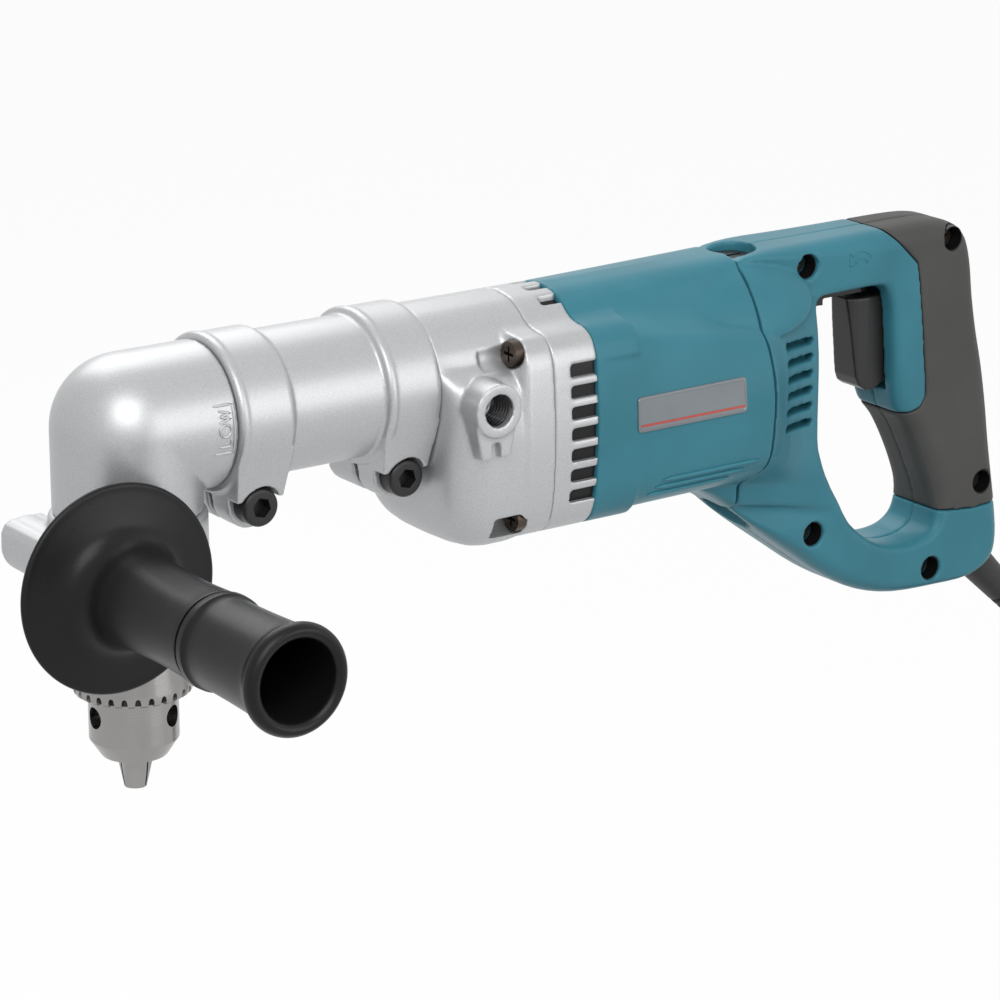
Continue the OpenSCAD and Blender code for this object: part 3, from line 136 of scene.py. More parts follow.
def shadeColour(tree, shader, fac, dark, light):
    ramp = addNode(tree, "ShaderNodeValToRGB")
    setRamp(ramp, [(0.35, dark), (0.65, light)])
    wire(tree, (fac, ramp.inputs["Fac"]), (ramp.outputs["Color"], shader.inputs["Base Color"]))


def varyRough(tree, shader, fac, low, high):
    span = addNode(tree, "ShaderNodeMapRange", ("To Min", low), ("To Max", high))
    wire(tree, (fac, span.inputs["Value"]), (span.outputs["Result"], shader.inputs["Roughness"]))


def addBump(tree, shader, fac, strength, distance):
    bump = addNode(tree, "ShaderNodeBump", ("Strength", strength), ("Distance", distance))
    wire(tree, (fac, bump.inputs["Height"]), (bump.outputs["Normal"], shader.inputs["Normal"]))


def tint(colour, k):
    return tuple(min(1.0, c * k) for c in colour)


grainFacts = {"patch": 28, "dark": 0.93, "light": 1.06, "bumpDepth": 0.0004, "spunTurn": 0.25}
finishes = {
    "castSilver": {"colour": (0.48, 0.49, 0.5), "rough": (0.33, 0.44), "metal": 0.6, "grain": 2200, "bump": 0.05,
                   "speckle": 0.02},
    "turnedSteel": {"colour": (0.27, 0.262, 0.254), "rough": (0.18, 0.3), "metal": 1.0, "grain": 260, "bump": 0.02},
    "spunSteel": {"colour": (0.31, 0.302, 0.294), "rough": (0.2, 0.34), "metal": 1.0, "grain": 260, "bump": 0.03,
                  "stretch": (0.12, 0.12, 4), "spun": 0.8},
    "tealShell": {"colour": (0.046, 0.208, 0.27), "rough": (0.32, 0.42), "shine": 0.22, "grain": 2600, "bump": 0.035},
    "softCover": {"colour": (0.07, 0.069, 0.067), "rough": (0.52, 0.68), "shine": 0.3, "grain": 2200, "bump": 0.16},
    "blackMoulding": {"colour": (0.008, 0.008, 0.009), "rough": (0.26, 0.38), "shine": 0.22, "grain": 1900,
                      "bump": 0.14},
    "triggerBlack": {"colour": (0.02, 0.019, 0.019), "rough": (0.28, 0.4), "shine": 0.35, "grain": 2400, "bump": 0.05},
    "blackedSteel": {"colour": (0.03, 0.029, 0.029), "rough": (0.3, 0.46), "metal": 0.6, "grain": 900, "bump": 0.06},
    "bronzeScrew": {"colour": (0.07, 0.052, 0.042), "rough": (0.3, 0.45), "metal": 0.8, "grain": 900, "bump": 0.05},
    "cordRubber": {"colour": (0.016, 0.016, 0.016), "rough": (0.5, 0.62), "grain": 1600, "bump": 0.1},
    "copperWire": {"colour": (0.42, 0.17, 0.07), "rough": (0.3, 0.45), "metal": 0.9, "grain": 700, "bump": 0.2},
    "carbonBlock": {"colour": (0.03, 0.03, 0.03), "rough": (0.6, 0.75), "grain": 1500, "bump": 0.15},
    "pinBrass": {"colour": (0.62, 0.5, 0.28), "rough": (0.2, 0.32), "metal": 1.0, "grain": 500, "bump": 0.03},
    "plateGrey": {"colour": (0.19, 0.21, 0.225), "rough": (0.3, 0.38), "metal": 0.5, "grain": 900, "bump": 0.04},
    "stripeRed": {"colour": (0.5, 0.07, 0.05), "rough": (0.35, 0.45), "grain": 900, "bump": 0.03},
}


def makeFinish(name, f):
    g = grainFacts
    mat, tree, shader = newFinish(name, f["colour"], f["rough"][0], f.get("metal", 0.0), f.get("shine", 0.5))
    broad = noiseAt(tree, g["patch"], 3)
    fine = noiseAt(tree, f["grain"], 2, f.get("stretch", (1, 1, 1)))
    k = f.get("speckle", 0.0)
    shadeColour(tree, shader, fine if k else broad, tint(f["colour"], g["dark"] - k), tint(f["colour"], g["light"] + k))
    varyRough(tree, shader, fine, *f["rough"])
    addBump(tree, shader, fine, f["bump"], g["bumpDepth"])
    if "spun" in f:  # glints drawn out along the axis, as turning marks round it give
        way = addNode(tree, "ShaderNodeTangent")
        way.direction_type = "RADIAL"
        way.axis = "Z"
        setInputs(shader, ("Anisotropic", f["spun"]), ("Anisotropic Rotation", g["spunTurn"]))
        wire(tree, (way.outputs["Tangent"], shader.inputs["Tangent"]))
    return mat


mats = {name: makeFinish(name, f) for name, f in finishes.items()}
print("finishes:", len(mats))


# meshes
def linked(name, mesh):
    obj = bpy.data.objects.new(name, mesh)
    bpy.context.scene.collection.objects.link(obj)
    return obj


def addMesh(name, points, faces):
    mesh = bpy.data.meshes.new(name)
    mesh.from_pydata([place(p) for p in points], [], faces)
    soup = bmesh.new()
    soup.from_mesh(mesh)
    bmesh.ops.remove_doubles(soup, verts=soup.verts, dist=1e-7)
    bmesh.ops.recalc_face_normals(soup, faces=soup.faces)
    soup.to_mesh(mesh)
    soup.free()
    return linked(name, mesh)


def bake(obj):
    deps = bpy.context.evaluated_depsgraph_get()
    mesh = bpy.data.meshes.new_from_object(obj.evaluated_get(deps))
    old = obj.data
    obj.modifiers.clear()
    obj.data = mesh
    bpy.data.meshes.remove(old)
    return obj


def combine(obj, others, how="DIFFERENCE"):
    for other in others:
        step = obj.modifiers.new("combine", "BOOLEAN")
        step.operation = how
        step.solver = "MANIFOLD"
        step.object = other
        bake(obj)
        bpy.data.objects.remove(other)
    return obj


def joined(parts):
    return combine(parts[0], parts[1:], "UNION")


keepShare = 0.4  # faces kept after softening


def soften(obj, grain, passes):  # rounds edges as a casting or moulding has them
    step = obj.modifiers.new("grain", "REMESH")
    step.mode = "VOXEL"
    step.voxel_size = grain * mm
    step = obj.modifiers.new("round", "SMOOTH")
    step.factor = 0.5
    step.iterations = passes
    step = obj.modifiers.new("thin", "DECIMATE")
    step.ratio = keepShare
    return bake(obj)


def shade(obj, angle=40):
    for face in obj.data.polygons:
        face.use_smooth = True
    obj.data.set_sharp_from_angle(angle=radians(angle))
    return obj


def dress(obj, finish):
    obj.data.materials.clear()
    obj.data.materials.append(mats[finish])
    return obj


def finishPiece(obj, finish, body, slot, *stands, angle=40):
    shade(obj, angle)
    dress(obj, finish)
    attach(obj, body)
    if stands:
        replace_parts(obj, *stands)
    print("piece:", obj.name, len(obj.data.polygons), "faces")
    return obj


def skin(rings, loop=False):  # faces over rings of equal length
    n, m = len(rings[0]), len(rings)
    points = [p for ring in rings for p in ring]
    faces = []
    for i in range(m if loop else m - 1):
        for j in range(n):
            a, b = i * n + j, i * n + (j + 1) % n
            c, d = ((i + 1) % m) * n + j, ((i + 1) % m) * n + (j + 1) % n
            faces.append((a, b, d, c))
    if not loop:
        faces += [tuple(range(n - 1, -1, -1)), tuple(range((m - 1) * n, m * n))]
    return points, faces


def merged(skins):  # several skins as one
    points, faces = [], []
    for more, around in skins:
        faces += [tuple(i + len(points) for i in face) for face in around]
        points += more
    return points, faces


def circle(n):  # angles once round
    return [2 * pi * k / n for k in range(n)]


def roundedLoop(x0, x1, z0, z1, corner, steps):  # points of a box with round corners, each with its outward angle
    loop = []
    for x, z, start in ((x1 - corner, z1 - corner, 0), (x0 + corner, z1 - corner, 90),
                        (x0 + corner, z0 + corner, 180), (x1 - corner, z0 + corner, 270)):
        for k in range(steps + 1):
            a = radians(start + 90 / steps * k)
            loop.append((x + corner * cos(a), z + corner * sin(a), a))
    return loop


def basis(axis):
    z = turn(axis)
    x = turn(z.orthogonal())
    return x, z.cross(x), z


def lathe(name, profile, base, axis, segments=96):  # profile of (radius, distance along the axis)
    x, y, z = basis(axis)
    base = Vector(base)
    points, faces, rows = [], [], []
    for r, s in profile:
        if r < 1e-6:
            rows.append([len(points)])
            points.append(base + z * s)
        else:
            rows.append(list(range(len(points), len(points) + segments)))
            for a in circle(segments):
                points.append(base + z * s + (x * cos(a) + y * sin(a)) * r)
    for a, b in zip(rows, rows[1:]):
        for k in range(segments):
            ring = [a[k % len(a)], a[(k + 1) % len(a)], b[(k + 1) % len(b)], b[k % len(b)]]
            face = list(dict.fromkeys(ring))
            if len(face) > 2:
                faces.append(tuple(face))
    return addMesh(name, points, faces)


def bar(name, base, way, low, high, r, segments):  # plain round bar in any direction
    return lathe(name, [(0, low), (r, low), (r, high), (0, high)], base, way, segments)


def rod(axis, start, end, r, at=(0, 0), segments=64):  # the same along x, y or z, for cutting and joining
    if axis == "x":
        base, way = (start, *at), (1, 0, 0)
    elif axis == "y":
        base, way = (at[0], start, at[1]), (0, 1, 0)
    else:
        base, way = (*at, start), (0, 0, 1)
    return bar("bar", base, way, 0, end - start, r, segments)


def block(x0, x1, y0, y1, z0, z1):
    points = [(x, y, z) for x in (x0, x1) for y in (y0, y1) for z in (z0, z1)]
    faces = [(0, 1, 3, 2), (4, 6, 7, 5), (0, 4, 5, 1), (2, 3, 7, 6), (0, 2, 6, 4), (1, 5, 7, 3)]
    return addMesh("block", points, faces)


def sided(side, near, far):  # stretch of y on one flank
    return sorted((side * near, side * far))


def prism(outline, y0, y1):  # outline in x and z
    return addMesh("prism", *skin([[(x, y, z) for x, z in outline] for y in (y0, y1)]))


def beam(outline, x0, x1):  # outline in y and z
    return addMesh("beam", *skin([[(x, y, z) for y, z in outline] for x in (x0, x1)]))


# cord: lead out of the guard, hanging coil, tail and plug, on the same route as the solids
cordFacts = {"diameter": 8.0, "pitch": 9.7, "coilAt": (480, -4, -286), "turnDeg": 54.7, "layers": 4, "layerTurns": 1.5,
             "innerRadius": 38.0, "startDeg": 45.0, "straight": 10.0, "reach": (40.0, 35.0), "tail": 40.0,
             "perTurn": 48, "leadSteps": 27, "tailSteps": 10, "guardRoot": (412, 0, -123), "guardEnd": (446, 0, -156)}
coilOuter = cordFacts["innerRadius"] + cordFacts["layerTurns"] * cordFacts["pitch"]


def coilAxes():  # across the coil and through its layers
    angle = radians(cordFacts["turnDeg"])
    return Vector((cos(angle), sin(angle), 0)), Vector((sin(angle), -cos(angle), 0))


def cordRoute():
    c = cordFacts
    u, v = coilAxes()
    last = c["layers"] - 1
    span = 360 * c["layerTurns"]
    step = span + 180
    sweep = 360 * (c["layers"] * c["layerTurns"] + last / 2 + 0.5) + c["startDeg"]

    def at(t):
        k = min(int(t // step), last)
        s = (t - k * step) / span
        s = min(s, 1) if k < last else s
        near, far = (coilOuter, c["innerRadius"]) if k % 2 == 0 else (c["innerRadius"], coilOuter)
        r = near + (far - near) * s
        e = max(0, min((t - k * step - span) / 180, 1)) if k < last else 0
        w = (k + e * e * (3 - 2 * e) - last / 2) * c["pitch"]
        a = radians(c["startDeg"] - t)
        return Vector(c["coilAt"]) + u * r * cos(a) + v * w + Vector((0, 0, r * sin(a)))

    count = ceil(sweep / 360 * c["perTurn"])
    coil = [at(sweep * i / count) for i in range(count + 1)]
    first = (at(1) - at(0)).normalized()
    start = Vector(c["guardEnd"])
    goal = coil[0] - first * c["straight"]
    bends = (start, start + turn(start - Vector(c["guardRoot"])) * c["reach"][0], goal - first * c["reach"][1], goal)
    lead = []
    for i in range(c["leadSteps"] + 1):
        t = i / c["leadSteps"]
        share = ((1 - t) ** 3, 3 * (1 - t) ** 2 * t, 3 * (1 - t) * t * t, t ** 3)
        lead.append(sum((p * k for p, k in zip(bends, share)), Vector()))
    tail = [coil[-1] - Vector((0, 0, c["tail"] * i / c["tailSteps"])) for i in range(1, c["tailSteps"] + 1)]
    return lead + coil + tail


route = cordRoute()


def addCord():
    curve = bpy.data.curves.new("powerCord", "CURVE")
    curve.dimensions = "3D"
    curve.bevel_depth = cordFacts["diameter"] / 2 * mm
    curve.bevel_resolution = 3
    curve.use_fill_caps = True
    line = curve.splines.new("POLY")
    line.points.add(len(route) - 1)
    for point, p in zip(line.points, route):
        point.co = (*place(p), 1)
    line.use_smooth = True
    obj = linked("powerCord", curve)
    curve.materials.append(mats["cordRubber"])
    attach(obj, "housing")
    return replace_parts(obj, "cord_lead", "cord_coil", "cord_tail")


plugFacts = {"radius": 13.0, "length": 38.0, "pinRadius": 2.4, "pinGap": 19.0, "pinLength": 19.0}


def addPlug():
    end = route[-1]
    c = plugFacts
    neck = cordFacts["diameter"] / 2
    profile = [[0, 0], [neck + 0.9, 0], [neck + 1.4, 0.5], [neck + 1.5, 2]]
    for k in range(4):
        s = 2.4 + 2.6 * k
        profile += [[neck + 1.6 + 0.2 * k, s], [neck + 0.8 + 0.2 * k, s + 0.5], [neck + 0.8 + 0.2 * k, s + 1.5],
                    [neck + 1.8 + 0.2 * k, s + 2]]
    profile += [[neck + 2.8, 14], [neck + 4.6, 17.5], [c["radius"] - 1.6, 21], [c["radius"] - 0.4, 24],
                [c["radius"], 26], [c["radius"], c["length"] - 2], [c["radius"] - 0.4, c["length"] - 0.7],
                [c["radius"] - 1.4, c["length"]], [0, c["length"]]]
    body = lathe("plugBody", profile, end, (0, 0, -1), 72)
    finishPiece(body, "blackMoulding", "housing", "cord_rubber", "plug")
    pins = []
    for side in (-1, 1):
        spot = end + coilAxes()[0] * side * c["pinGap"] / 2
        spot.z -= c["length"] - 0.3
        pins.append(lathe("plugPins", [(0, 0), (c["pinRadius"], 0), (c["pinRadius"], c["pinLength"] - 1.4),
                                       (c["pinRadius"] - 0.6, c["pinLength"] - 0.3), (0, c["pinLength"])],
                          spot, (0, 0, -1), 32))
    return body, finishPiece(joined(pins), "pinBrass", "housing", "steel")


tieFacts = {"width": 14.0, "thick": 1.6, "gap": 0.5, "room": 3.0, "inside": 1.0, "corner": 4.0}


def addTie():
    c, f = tieFacts, cordFacts
    half = f["layers"] * f["pitch"] / 2 + c["gap"] + c["thick"] / 2
    low = -coilOuter - f["diameter"] / 2 - c["room"] - c["thick"] / 2
    high = -f["innerRadius"] + f["diameter"] / 2 + c["inside"] + c["thick"] / 2
    u, v = coilAxes()
    w, t = c["width"] / 2, c["thick"] / 2
    section = [(-w, -t), (-w + 0.5, -t - 0.05), (w - 0.5, -t - 0.05), (w, -t)]
    section += [(-s, -n) for s, n in section]
    rings = []
    for y, z, a in roundedLoop(-half, half, low, high, c["corner"], 6):
        rings.append([Vector(f["coilAt"]) + u * s + v * (y + cos(a) * n) + Vector((0, 0, z + sin(a) * n))
                      for s, n in section])
    return finishPiece(addMesh("cordTie", *skin(rings, loop=True)), "cordRubber", "housing", "cord_rubber", "cord_tie")


cord = addCord()
plugPieces = addPlug()
tie = addTie()


# housing outlines, (y, z) from the ridge down to the keel
ridgeLine = [(0, 28), (9.6, 26.3), (16.5, 22.6), (20.4, 19.2)]
keelLine = [(18, -63), (16.8, -63.2), (15, -63.4), (9, -63.6), (0, -63.8)]
outlines = {
    "front": ridgeLine + [(24.5, 17.4), (29.5, 16.6), (34, 14.6), (37.6, 10.4), (39.6, 2), (41, -22), (39.9, -43),
                          (37.6, -53), (33, -59), (26, -62)] + keelLine,
    "rear": [(0, 28.3), (9, 28), (14.2, 26), (16.6, 21.5), (18, 14), (20.4, 8), (25, 4), (31.5, 1), (37, -7),
             (41, -22), (40, -42), (37, -52), (31, -58), (23, -62.6), (18.4, -66), (17.8, -70), (17, -74.6),
             (13, -77.6), (0, -78.4)],
    "ledge": ridgeLine + [(24.6, 13), (27.2, 6.6), (32.5, 4), (37, -1), (39, -9), (40, -22), (38.7, -43), (36.4, -52),
                          (31.6, -58.6), (25, -62)] + keelLine,
    "nose": ridgeLine + [(24.2, 14.1), (26.5, 9), (27.6, 4.6), (27.9, 2), (27.8, -4), (26.4, -14), (24, -26),
                         (21.6, -34), (18.6, -39.5), (14.6, -43.2), (11, -45), (9, -45.6), (7.5, -45.9), (4, -46.3),
                         (0, -46.4)],
}
sagFrom = 10
keelFrom = 14


def sagged(outline, drop):
    return [(y, z - (drop if i > sagFrom else drop / 2 if i == sagFrom else 0)) for i, (y, z) in enumerate(outline)]


outlines["casing"] = sagged(outlines["front"], 2.0)
outlines["belly"] = sagged(outlines["ledge"], 3.4)


def blended(a, b, t, keel=None):
    keel = t if keel is None else keel
    pairs = zip(outlines[a], outlines[b])
    return [tuple(mix(p, q, keel if i >= keelFrom else t)) for i, (p, q) in enumerate(pairs)]


def ringAt(x, half, steps=4):
    run = curveThrough([list(p) for p in half], steps)
    whole = run + [[-y, z] for y, z in reversed(run[1:-1])]
    return [(x, y, z) for y, z in whole]


swellFacts = {"at": (277.0, 20.8, 10.6), "along": (17.0, -25.0), "long": 30.0, "high": 17.0, "thick": 5.2,
              "room": (-20, 40)}


def flankSwell(side, x0, x1):  # low oval swelling across the seam
    f = swellFacts
    y, z = turn((*f["along"], 0))[:2]
    rings = []
    for deg in range(-87, 88, 6):
        p = radians(deg)
        ring = []
        for a in circle(64):
            up, out = f["high"] * cos(p) * cos(a), f["thick"] * cos(p) * sin(a)
            ring.append((f["at"][0] + f["long"] * sin(p), side * (f["at"][1] + y * up - z * out),
                         f["at"][2] + z * up + y * out))
        rings.append(ring)
    return combine(addMesh("swell", *skin(rings)), [block(x0, x1, *sided(side, 8, 60), *f["room"])], "INTERSECT")


stations = {"gear0": 120.8, "gear1": 165.4, "motor0": 185.9, "motor1": 273.9, "motorEnd": 273.5, "handle0": 274.3,
            "motorZ": -22.0, "brushX": 281.9}
motorFacts = {"length": 88, "keelRun": 27, "keelEase": (0.55, 0.45), "bore": 36.05, "steps": 44, "swellRun": 40}


def motorHalf(x):
    f = motorFacts
    t = (x - stations["motor0"]) / f["length"]
    k = max(0.0, (x - stations["motor1"] + f["keelRun"]) / f["keelRun"])
    return blended("front", "rear", t, k * (f["keelEase"][0] + f["keelEase"][1] * k))


def flankY(x, z):  # half width of the motor housing at a height
    run = curveThrough([list(p) for p in motorHalf(x)], 6)
    return max(a[0] + (b[0] - a[0]) * (z - a[1]) / (b[1] - a[1]) for a, b in zip(run, run[1:])
               if min(a[1], b[1]) <= z <= max(a[1], b[1]) and a[1] != b[1])


capFacts = {"radius": 10, "ends": [(22, 34), (-100, -63)]}


def capRecesses():
    return [rod("z", *ends, capFacts["radius"], (stations["brushX"], 0)) for ends in capFacts["ends"]]


screwSpots = [(30.4, 10.8), (-30.4, 10.8), (32, -54.4), (-32, -54.4)]
padFacts = {"length": 21.0, "inY": 22.0, "zones": [(4, 24), (-66, -45)]}  # raised corners over the housing screws


def motorShell():
    s, f, m = stations, padFacts, motorFacts
    spots = [s["motor0"] + (s["motorEnd"] - s["motor0"]) * k / m["steps"] for k in range(m["steps"] + 1)]
    obj = addMesh("motorShell", *skin([ringAt(x, motorHalf(x), 6) for x in spots]))
    ends = (s["motor0"], s["motor0"] + f["length"])
    pads = addMesh("pads", *skin([ringAt(x, outlines["casing"]) for x in ends]))
    zones = joined([block(ends[0] - 1, ends[1] + 1, *sided(side, f["inY"], 60), *zone)
                    for zone in f["zones"] for side in (1, -1)])
    swells = [flankSwell(side, s["motorEnd"] - m["swellRun"], s["motorEnd"]) for side in (-1, 1)]
    combine(obj, [combine(pads, [zones], "INTERSECT")] + swells, "UNION")
    combine(obj, [rod("x", s["motor0"] - 1, s["motor1"] + 1, m["bore"], (0, s["motorZ"]), 96)] + capRecesses())
    soften(obj, 0.85, 4)
    return finishPiece(obj, "tealShell", "housing", "blue_shell", "motor_housing", angle=50)


# the last three entries place a black plate that paints the shade inside the cooling slots
fanFacts = {"step": 10, "bore": 35, "slots": 7, "pitch": 8.35, "drop": 1, "slotHalf": 2.5, "slotLong": 12.5,
            "topSlots": (-13.5, -4.5, 4.5, 13.5), "topHalf": 2, "topLong": 9, "topZ": (8, 40),
            "shadePlateBacks": (12.3, 0.3), "shadePlateShare": 0.95, "shadePlateBore": 34.2}


def fanCasing():
    s, f = stations, fanFacts
    rear = s["motor0"] + 1
    rings = [ringAt(x, outlines["casing"]) for x in (s["gear1"], s["gear1"] + f["step"], s["motor0"] - 0.1)]
    obj = addMesh("fanCasing", *skin(rings))
    cuts = [rod("x", s["gear1"] - 1, rear, f["bore"], (0, s["motorZ"]), 96)]
    for i in range(f["slots"]):
        z = s["motorZ"] - f["drop"] + (i - 3) * f["pitch"]
        tall = (z - f["slotHalf"], z + f["slotHalf"])
        cuts += [block(s["motor0"] - f["slotLong"], rear, *sided(side, 20, 60), *tall) for side in (-1, 1)]
    for y in f["topSlots"]:
        cuts.append(block(s["motor0"] - f["topLong"], rear, y - f["topHalf"], y + f["topHalf"], *f["topZ"]))
    combine(obj, cuts)
    soften(obj, 0.7, 3)
    return finishPiece(obj, "castSilver", "housing", "cast_aluminium", "fan_casing", angle=50)


def fanShadePlate():  # painted shade: black plate behind the cooling slots, standing in for the shadow inside them
    s, f = stations, fanFacts
    k = f["shadePlateShare"]
    half = [(y * k, -20 + (z + 20) * k) for y, z in outlines["casing"]]
    obj = addMesh("fanShadePlate", *skin([ringAt(s["motor0"] - back, half) for back in f["shadePlateBacks"]]))
    combine(obj, [rod("x", s["motor0"] - 14, s["motor0"] + 1, f["shadePlateBore"], (0, s["motorZ"]), 96)])
    return finishPiece(obj, "blackMoulding", "housing", "black_plastic", angle=30)


# run: (distance from the nose, share of the belly's outline); bores: (start, end, radius, middle)
gearFacts = {"headX": 150.4, "bossX": 135.8, "bossZ": -6.0, "bossY": 45.6, "bossRadius": 10.5, "threadRadius": 6.0,
             "thread": (7, 1.75), "padRadius": 5.6, "pocket": 11.0, "pocketRadius": 5.8, "nose": (24, 4, 23.8),
             "web": [(-10.5, 0), (-6.5, -19), (6.5, -19), (10.5, 0)], "run": [(0, 0), (3, 0.45), (8, 0.76), (14, 0.94)],
             "bores": [(100.8, 128, 17.55, (0, 0)), (90, 120.8, 14.5, (0, 0)), (127.3, 150.8, 21, (0, 0)),
                       (127.3, 150.8, 15, (15.68, -15.43)), (141, 150.8, 8, (0, -22)), (150.8, 166.4, 33, (0, -22)),
                       (150.8, 164.8, 24, (0, 0))]}


def gearCase():
    g, x0, x1 = gearFacts, stations["gear0"], stations["gear1"]
    run = [(x0 + d, blended("nose", "belly", t)) for d, t in g["run"]]
    run += [(x0 + 21, outlines["belly"]), (x1 - 14.5, outlines["belly"]),
            (x1 - 11.5, outlines["casing"]), (x1, outlines["casing"])]
    flat = [[x] + [v for p in half for v in p] for x, half in run]
    rings = []
    for row in curveThrough(flat[:5], 5) + flat[5:]:
        rings.append(ringAt(row[0], list(zip(row[1::2], row[2::2]))))
    obj = addMesh("gearCase", *skin(rings))
    adds = [rod("x", x0 - g["nose"][0], x0 + g["nose"][1], g["nose"][2], segments=96)]
    adds += [rod("x", g["headX"], x1, g["padRadius"], spot) for spot in screwSpots]
    for side in (-1, 1):
        adds.append(rod("y", *sided(side, 20, g["bossY"]), g["bossRadius"], (g["bossX"], g["bossZ"])))
        web = [(g["bossX"] + x, g["bossZ"] + z) for x, z in g["web"]]
        adds.append(prism(web, *sided(side, 20, g["bossY"] - 2)))
    combine(obj, adds, "UNION")
    cuts = [rod("x", *bore) for bore in g["bores"]]
    for spot in screwSpots:
        cuts.append(rod("x", g["headX"] - g["pocket"], g["headX"] + 4, g["pocketRadius"], spot))
    for side in (-1, 1):
        y = sided(side, g["bossY"] - 15, g["bossY"] + 1)
        cuts.append(rod("y", *y, g["threadRadius"] + 0.4, (g["bossX"], g["bossZ"])))
        y = sided(side, g["bossY"] - 6, g["bossY"] + 1)
        cuts.append(block(g["bossX"] - 2, g["bossX"] + 2, *y, g["bossZ"] - 20, g["bossZ"] - 13))
    combine(obj, cuts)
    soften(obj, 0.7, 5)
    return finishPiece(obj, "castSilver", "housing", "cast_aluminium", "gear_housing", angle=50)


motorShell()
fanCasing()
fanShadePlate()
gearCase()


# D handle: stations round the finger opening, (inner x, z, outer x, z, inner and outer half width, edge radii)
handleFacts = {
    "seamIn": [(331, -87.5), (329.5, -84.5), (325, -77), (323.5, -74), (321.5, -70), (319, -63), (317.2, -54),
               (317, -24), (316.2, -10), (315.4, -3.5), (315, -1), (314.8, 1.4), (315, 3.4), (315.6, 4.6),
               (316.6, 5.4), (318, 5.8)],
    "seamWidth": 17.6,
    "seamEdge": 0.3,
    "loop": [(321, 6, 290, 28.4, 17.4, 17.4, 3, 6), (330, 6, 315, 28.5, 17.4, 17.6, 3, 7),
             (344, 6, 345, 28.7, 17.2, 17.6, 3, 8), (352, 4, 369, 28.9, 17, 17.4, 4, 9),
             (355, -4, 385, 27.8, 17, 17, 4, 9), (356, -14, 395.6, 22.6, 17, 16.8, 5, 9),
             (357, -26, 400.4, 12, 17, 16.8, 5, 10), (358, -38, 403, -5, 16.8, 16.6, 6, 10),
             (361, -50, 406, -21, 16.6, 16.6, 7, 10), (367, -58, 409.6, -36, 16.4, 16.6, 8, 10),
             (372.4, -68, 412.8, -53, 16.4, 16.6, 9, 10), (378, -80, 415.4, -71, 16.4, 16.6, 9, 10),
             (382, -90, 417.2, -86, 16.6, 16.8, 8, 9), (383.4, -98.4, 418.8, -100, 16.8, 17, 6, 8),
             (381.4, -104.8, 419.6, -115, 17, 17, 5, 7), (375, -108.6, 416.6, -125, 17, 17, 5, 7),
             (366, -109.6, 405, -130.8, 17, 17, 5, 7), (357, -108.4, 385, -131.4, 17, 17, 5, 7),
             (349, -105, 362, -130.4, 17, 17, 5, 7), (343, -100.6, 343, -125.6, 17, 17, 5, 7),
             (339, -97, 326, -116.6, 17, 17, 5, 7), (336, -94, 309, -104.6, 17.2, 17, 5, 7),
             (333, -90.4, 290, -90.6, 17.4, 17, 4, 6)],
    "cover": [(345, 40), (351, 28.4), (367.4, 12.8), (369, 4), (374, -37.4), (374.4, -45.3), (371.6, -49.6),
              (366, -51.4), (350, -52), (345, -60), (345, -92), (363, -92.8), (379.5, -97.2), (402, -99.3),
              (430, -98.4), (430, 40)],
    "screws": [(308.4, 19.6), (387, 20.4), (408, -88.6), (380, -122), (314.9, -95)],
    "recess": 5.3,
}


def handleRing(s, side):
    a, b = Vector((s[0], 0, s[1])), Vector((s[2], 0, s[3]))
    d = (b - a).normalized()
    wIn, wOut, rIn, rOut = s[4:8]
    y = Vector((0, side, 0))
    ring = [a]
    for k in range(6):
        t = pi / 2 * k / 5
        ring.append(a + d * rIn * (1 - cos(t)) + y * (wIn - rIn + rIn * sin(t)))
    for k in (1, 2, 3):
        t = k / 4
        p = (a + d * rIn).lerp(b - d * rOut, t)
        ring.append(p + y * (wIn + (wOut - wIn) * t - 0.1 * abs(wOut - wIn) * 4 * t * (1 - t)))
    for k in range(6):
        t = pi / 2 * (1 - k / 5)
        ring.append(b - d * rOut * (1 - cos(t)) + y * (wOut - rOut + rOut * sin(t)))
    ring.append(b)
    return [tuple(p) for p in ring]


def handleSkin(name, side):
    h = handleFacts
    start, edge, seam = stations["handle0"], h["seamEdge"], outlines["rear"][17:1:-1]
    rows = [(*i, start, o[1], h["seamWidth"], o[0], 4, edge) for i, o in zip(h["seamIn"], seam)]
    rings = []
    for row in curveThrough([list(r) for r in rows + h["loop"]], 3, closed=True):
        row[2] = max(row[2], start)
        row[7] = max(row[7], edge)
        rings.append(handleRing(row, side))
    return addMesh(name, *skin(rings, loop=True))


# rods as (start, end, radius, middle), boxes as their sides, louvres as (count, top, pitch)
roomFacts = {"motor": (273, 292.9, 19, (0, -22)), "bearing": (290, 302.2, 11.05, (0, -22)),
             "switch": (340, 366, -8.5, 8.5, -42, 3), "lever": (0, 14, 2.3, (346, 0)),
             "plunger": (360, 381, 2.8, (0, -16)), "guard": (0, 26, 8.6), "louvres": (6, -10.3, 6.86),
             "louvre": [(288.5, 0), (311.4, -2.4), (311.7, 0.6), (288.8, 3)], "screwY": (-40, -6),
             "trigger": (365.9, 388.1, -8.6, 8.6, -40.1, 8.1), "stem": (360, 384, 2.8, (0, -16))}


def screwRecesses():
    return [rod("y", *roomFacts["screwY"], handleFacts["recess"], spot, 48) for spot in handleFacts["screws"]]


def handleRooms(side):
    f = roomFacts
    way = turn(Vector(cordFacts["guardEnd"]) - Vector(cordFacts["guardRoot"]))
    cuts = [rod("x", *f["motor"]), rod("x", *f["bearing"]), block(*f["switch"]), rod("z", *f["lever"]),
            rod("x", *f["plunger"]), bar("guardRoom", cordFacts["guardRoot"], way, *f["guard"], 48)] + capRecesses()
    count, top, pitch = f["louvres"]
    for i in range(count):
        z = top - pitch * i
        cuts.append(prism([(x, z + up) for x, up in f["louvre"]], *sided(side, 12, 60)))
    return cuts


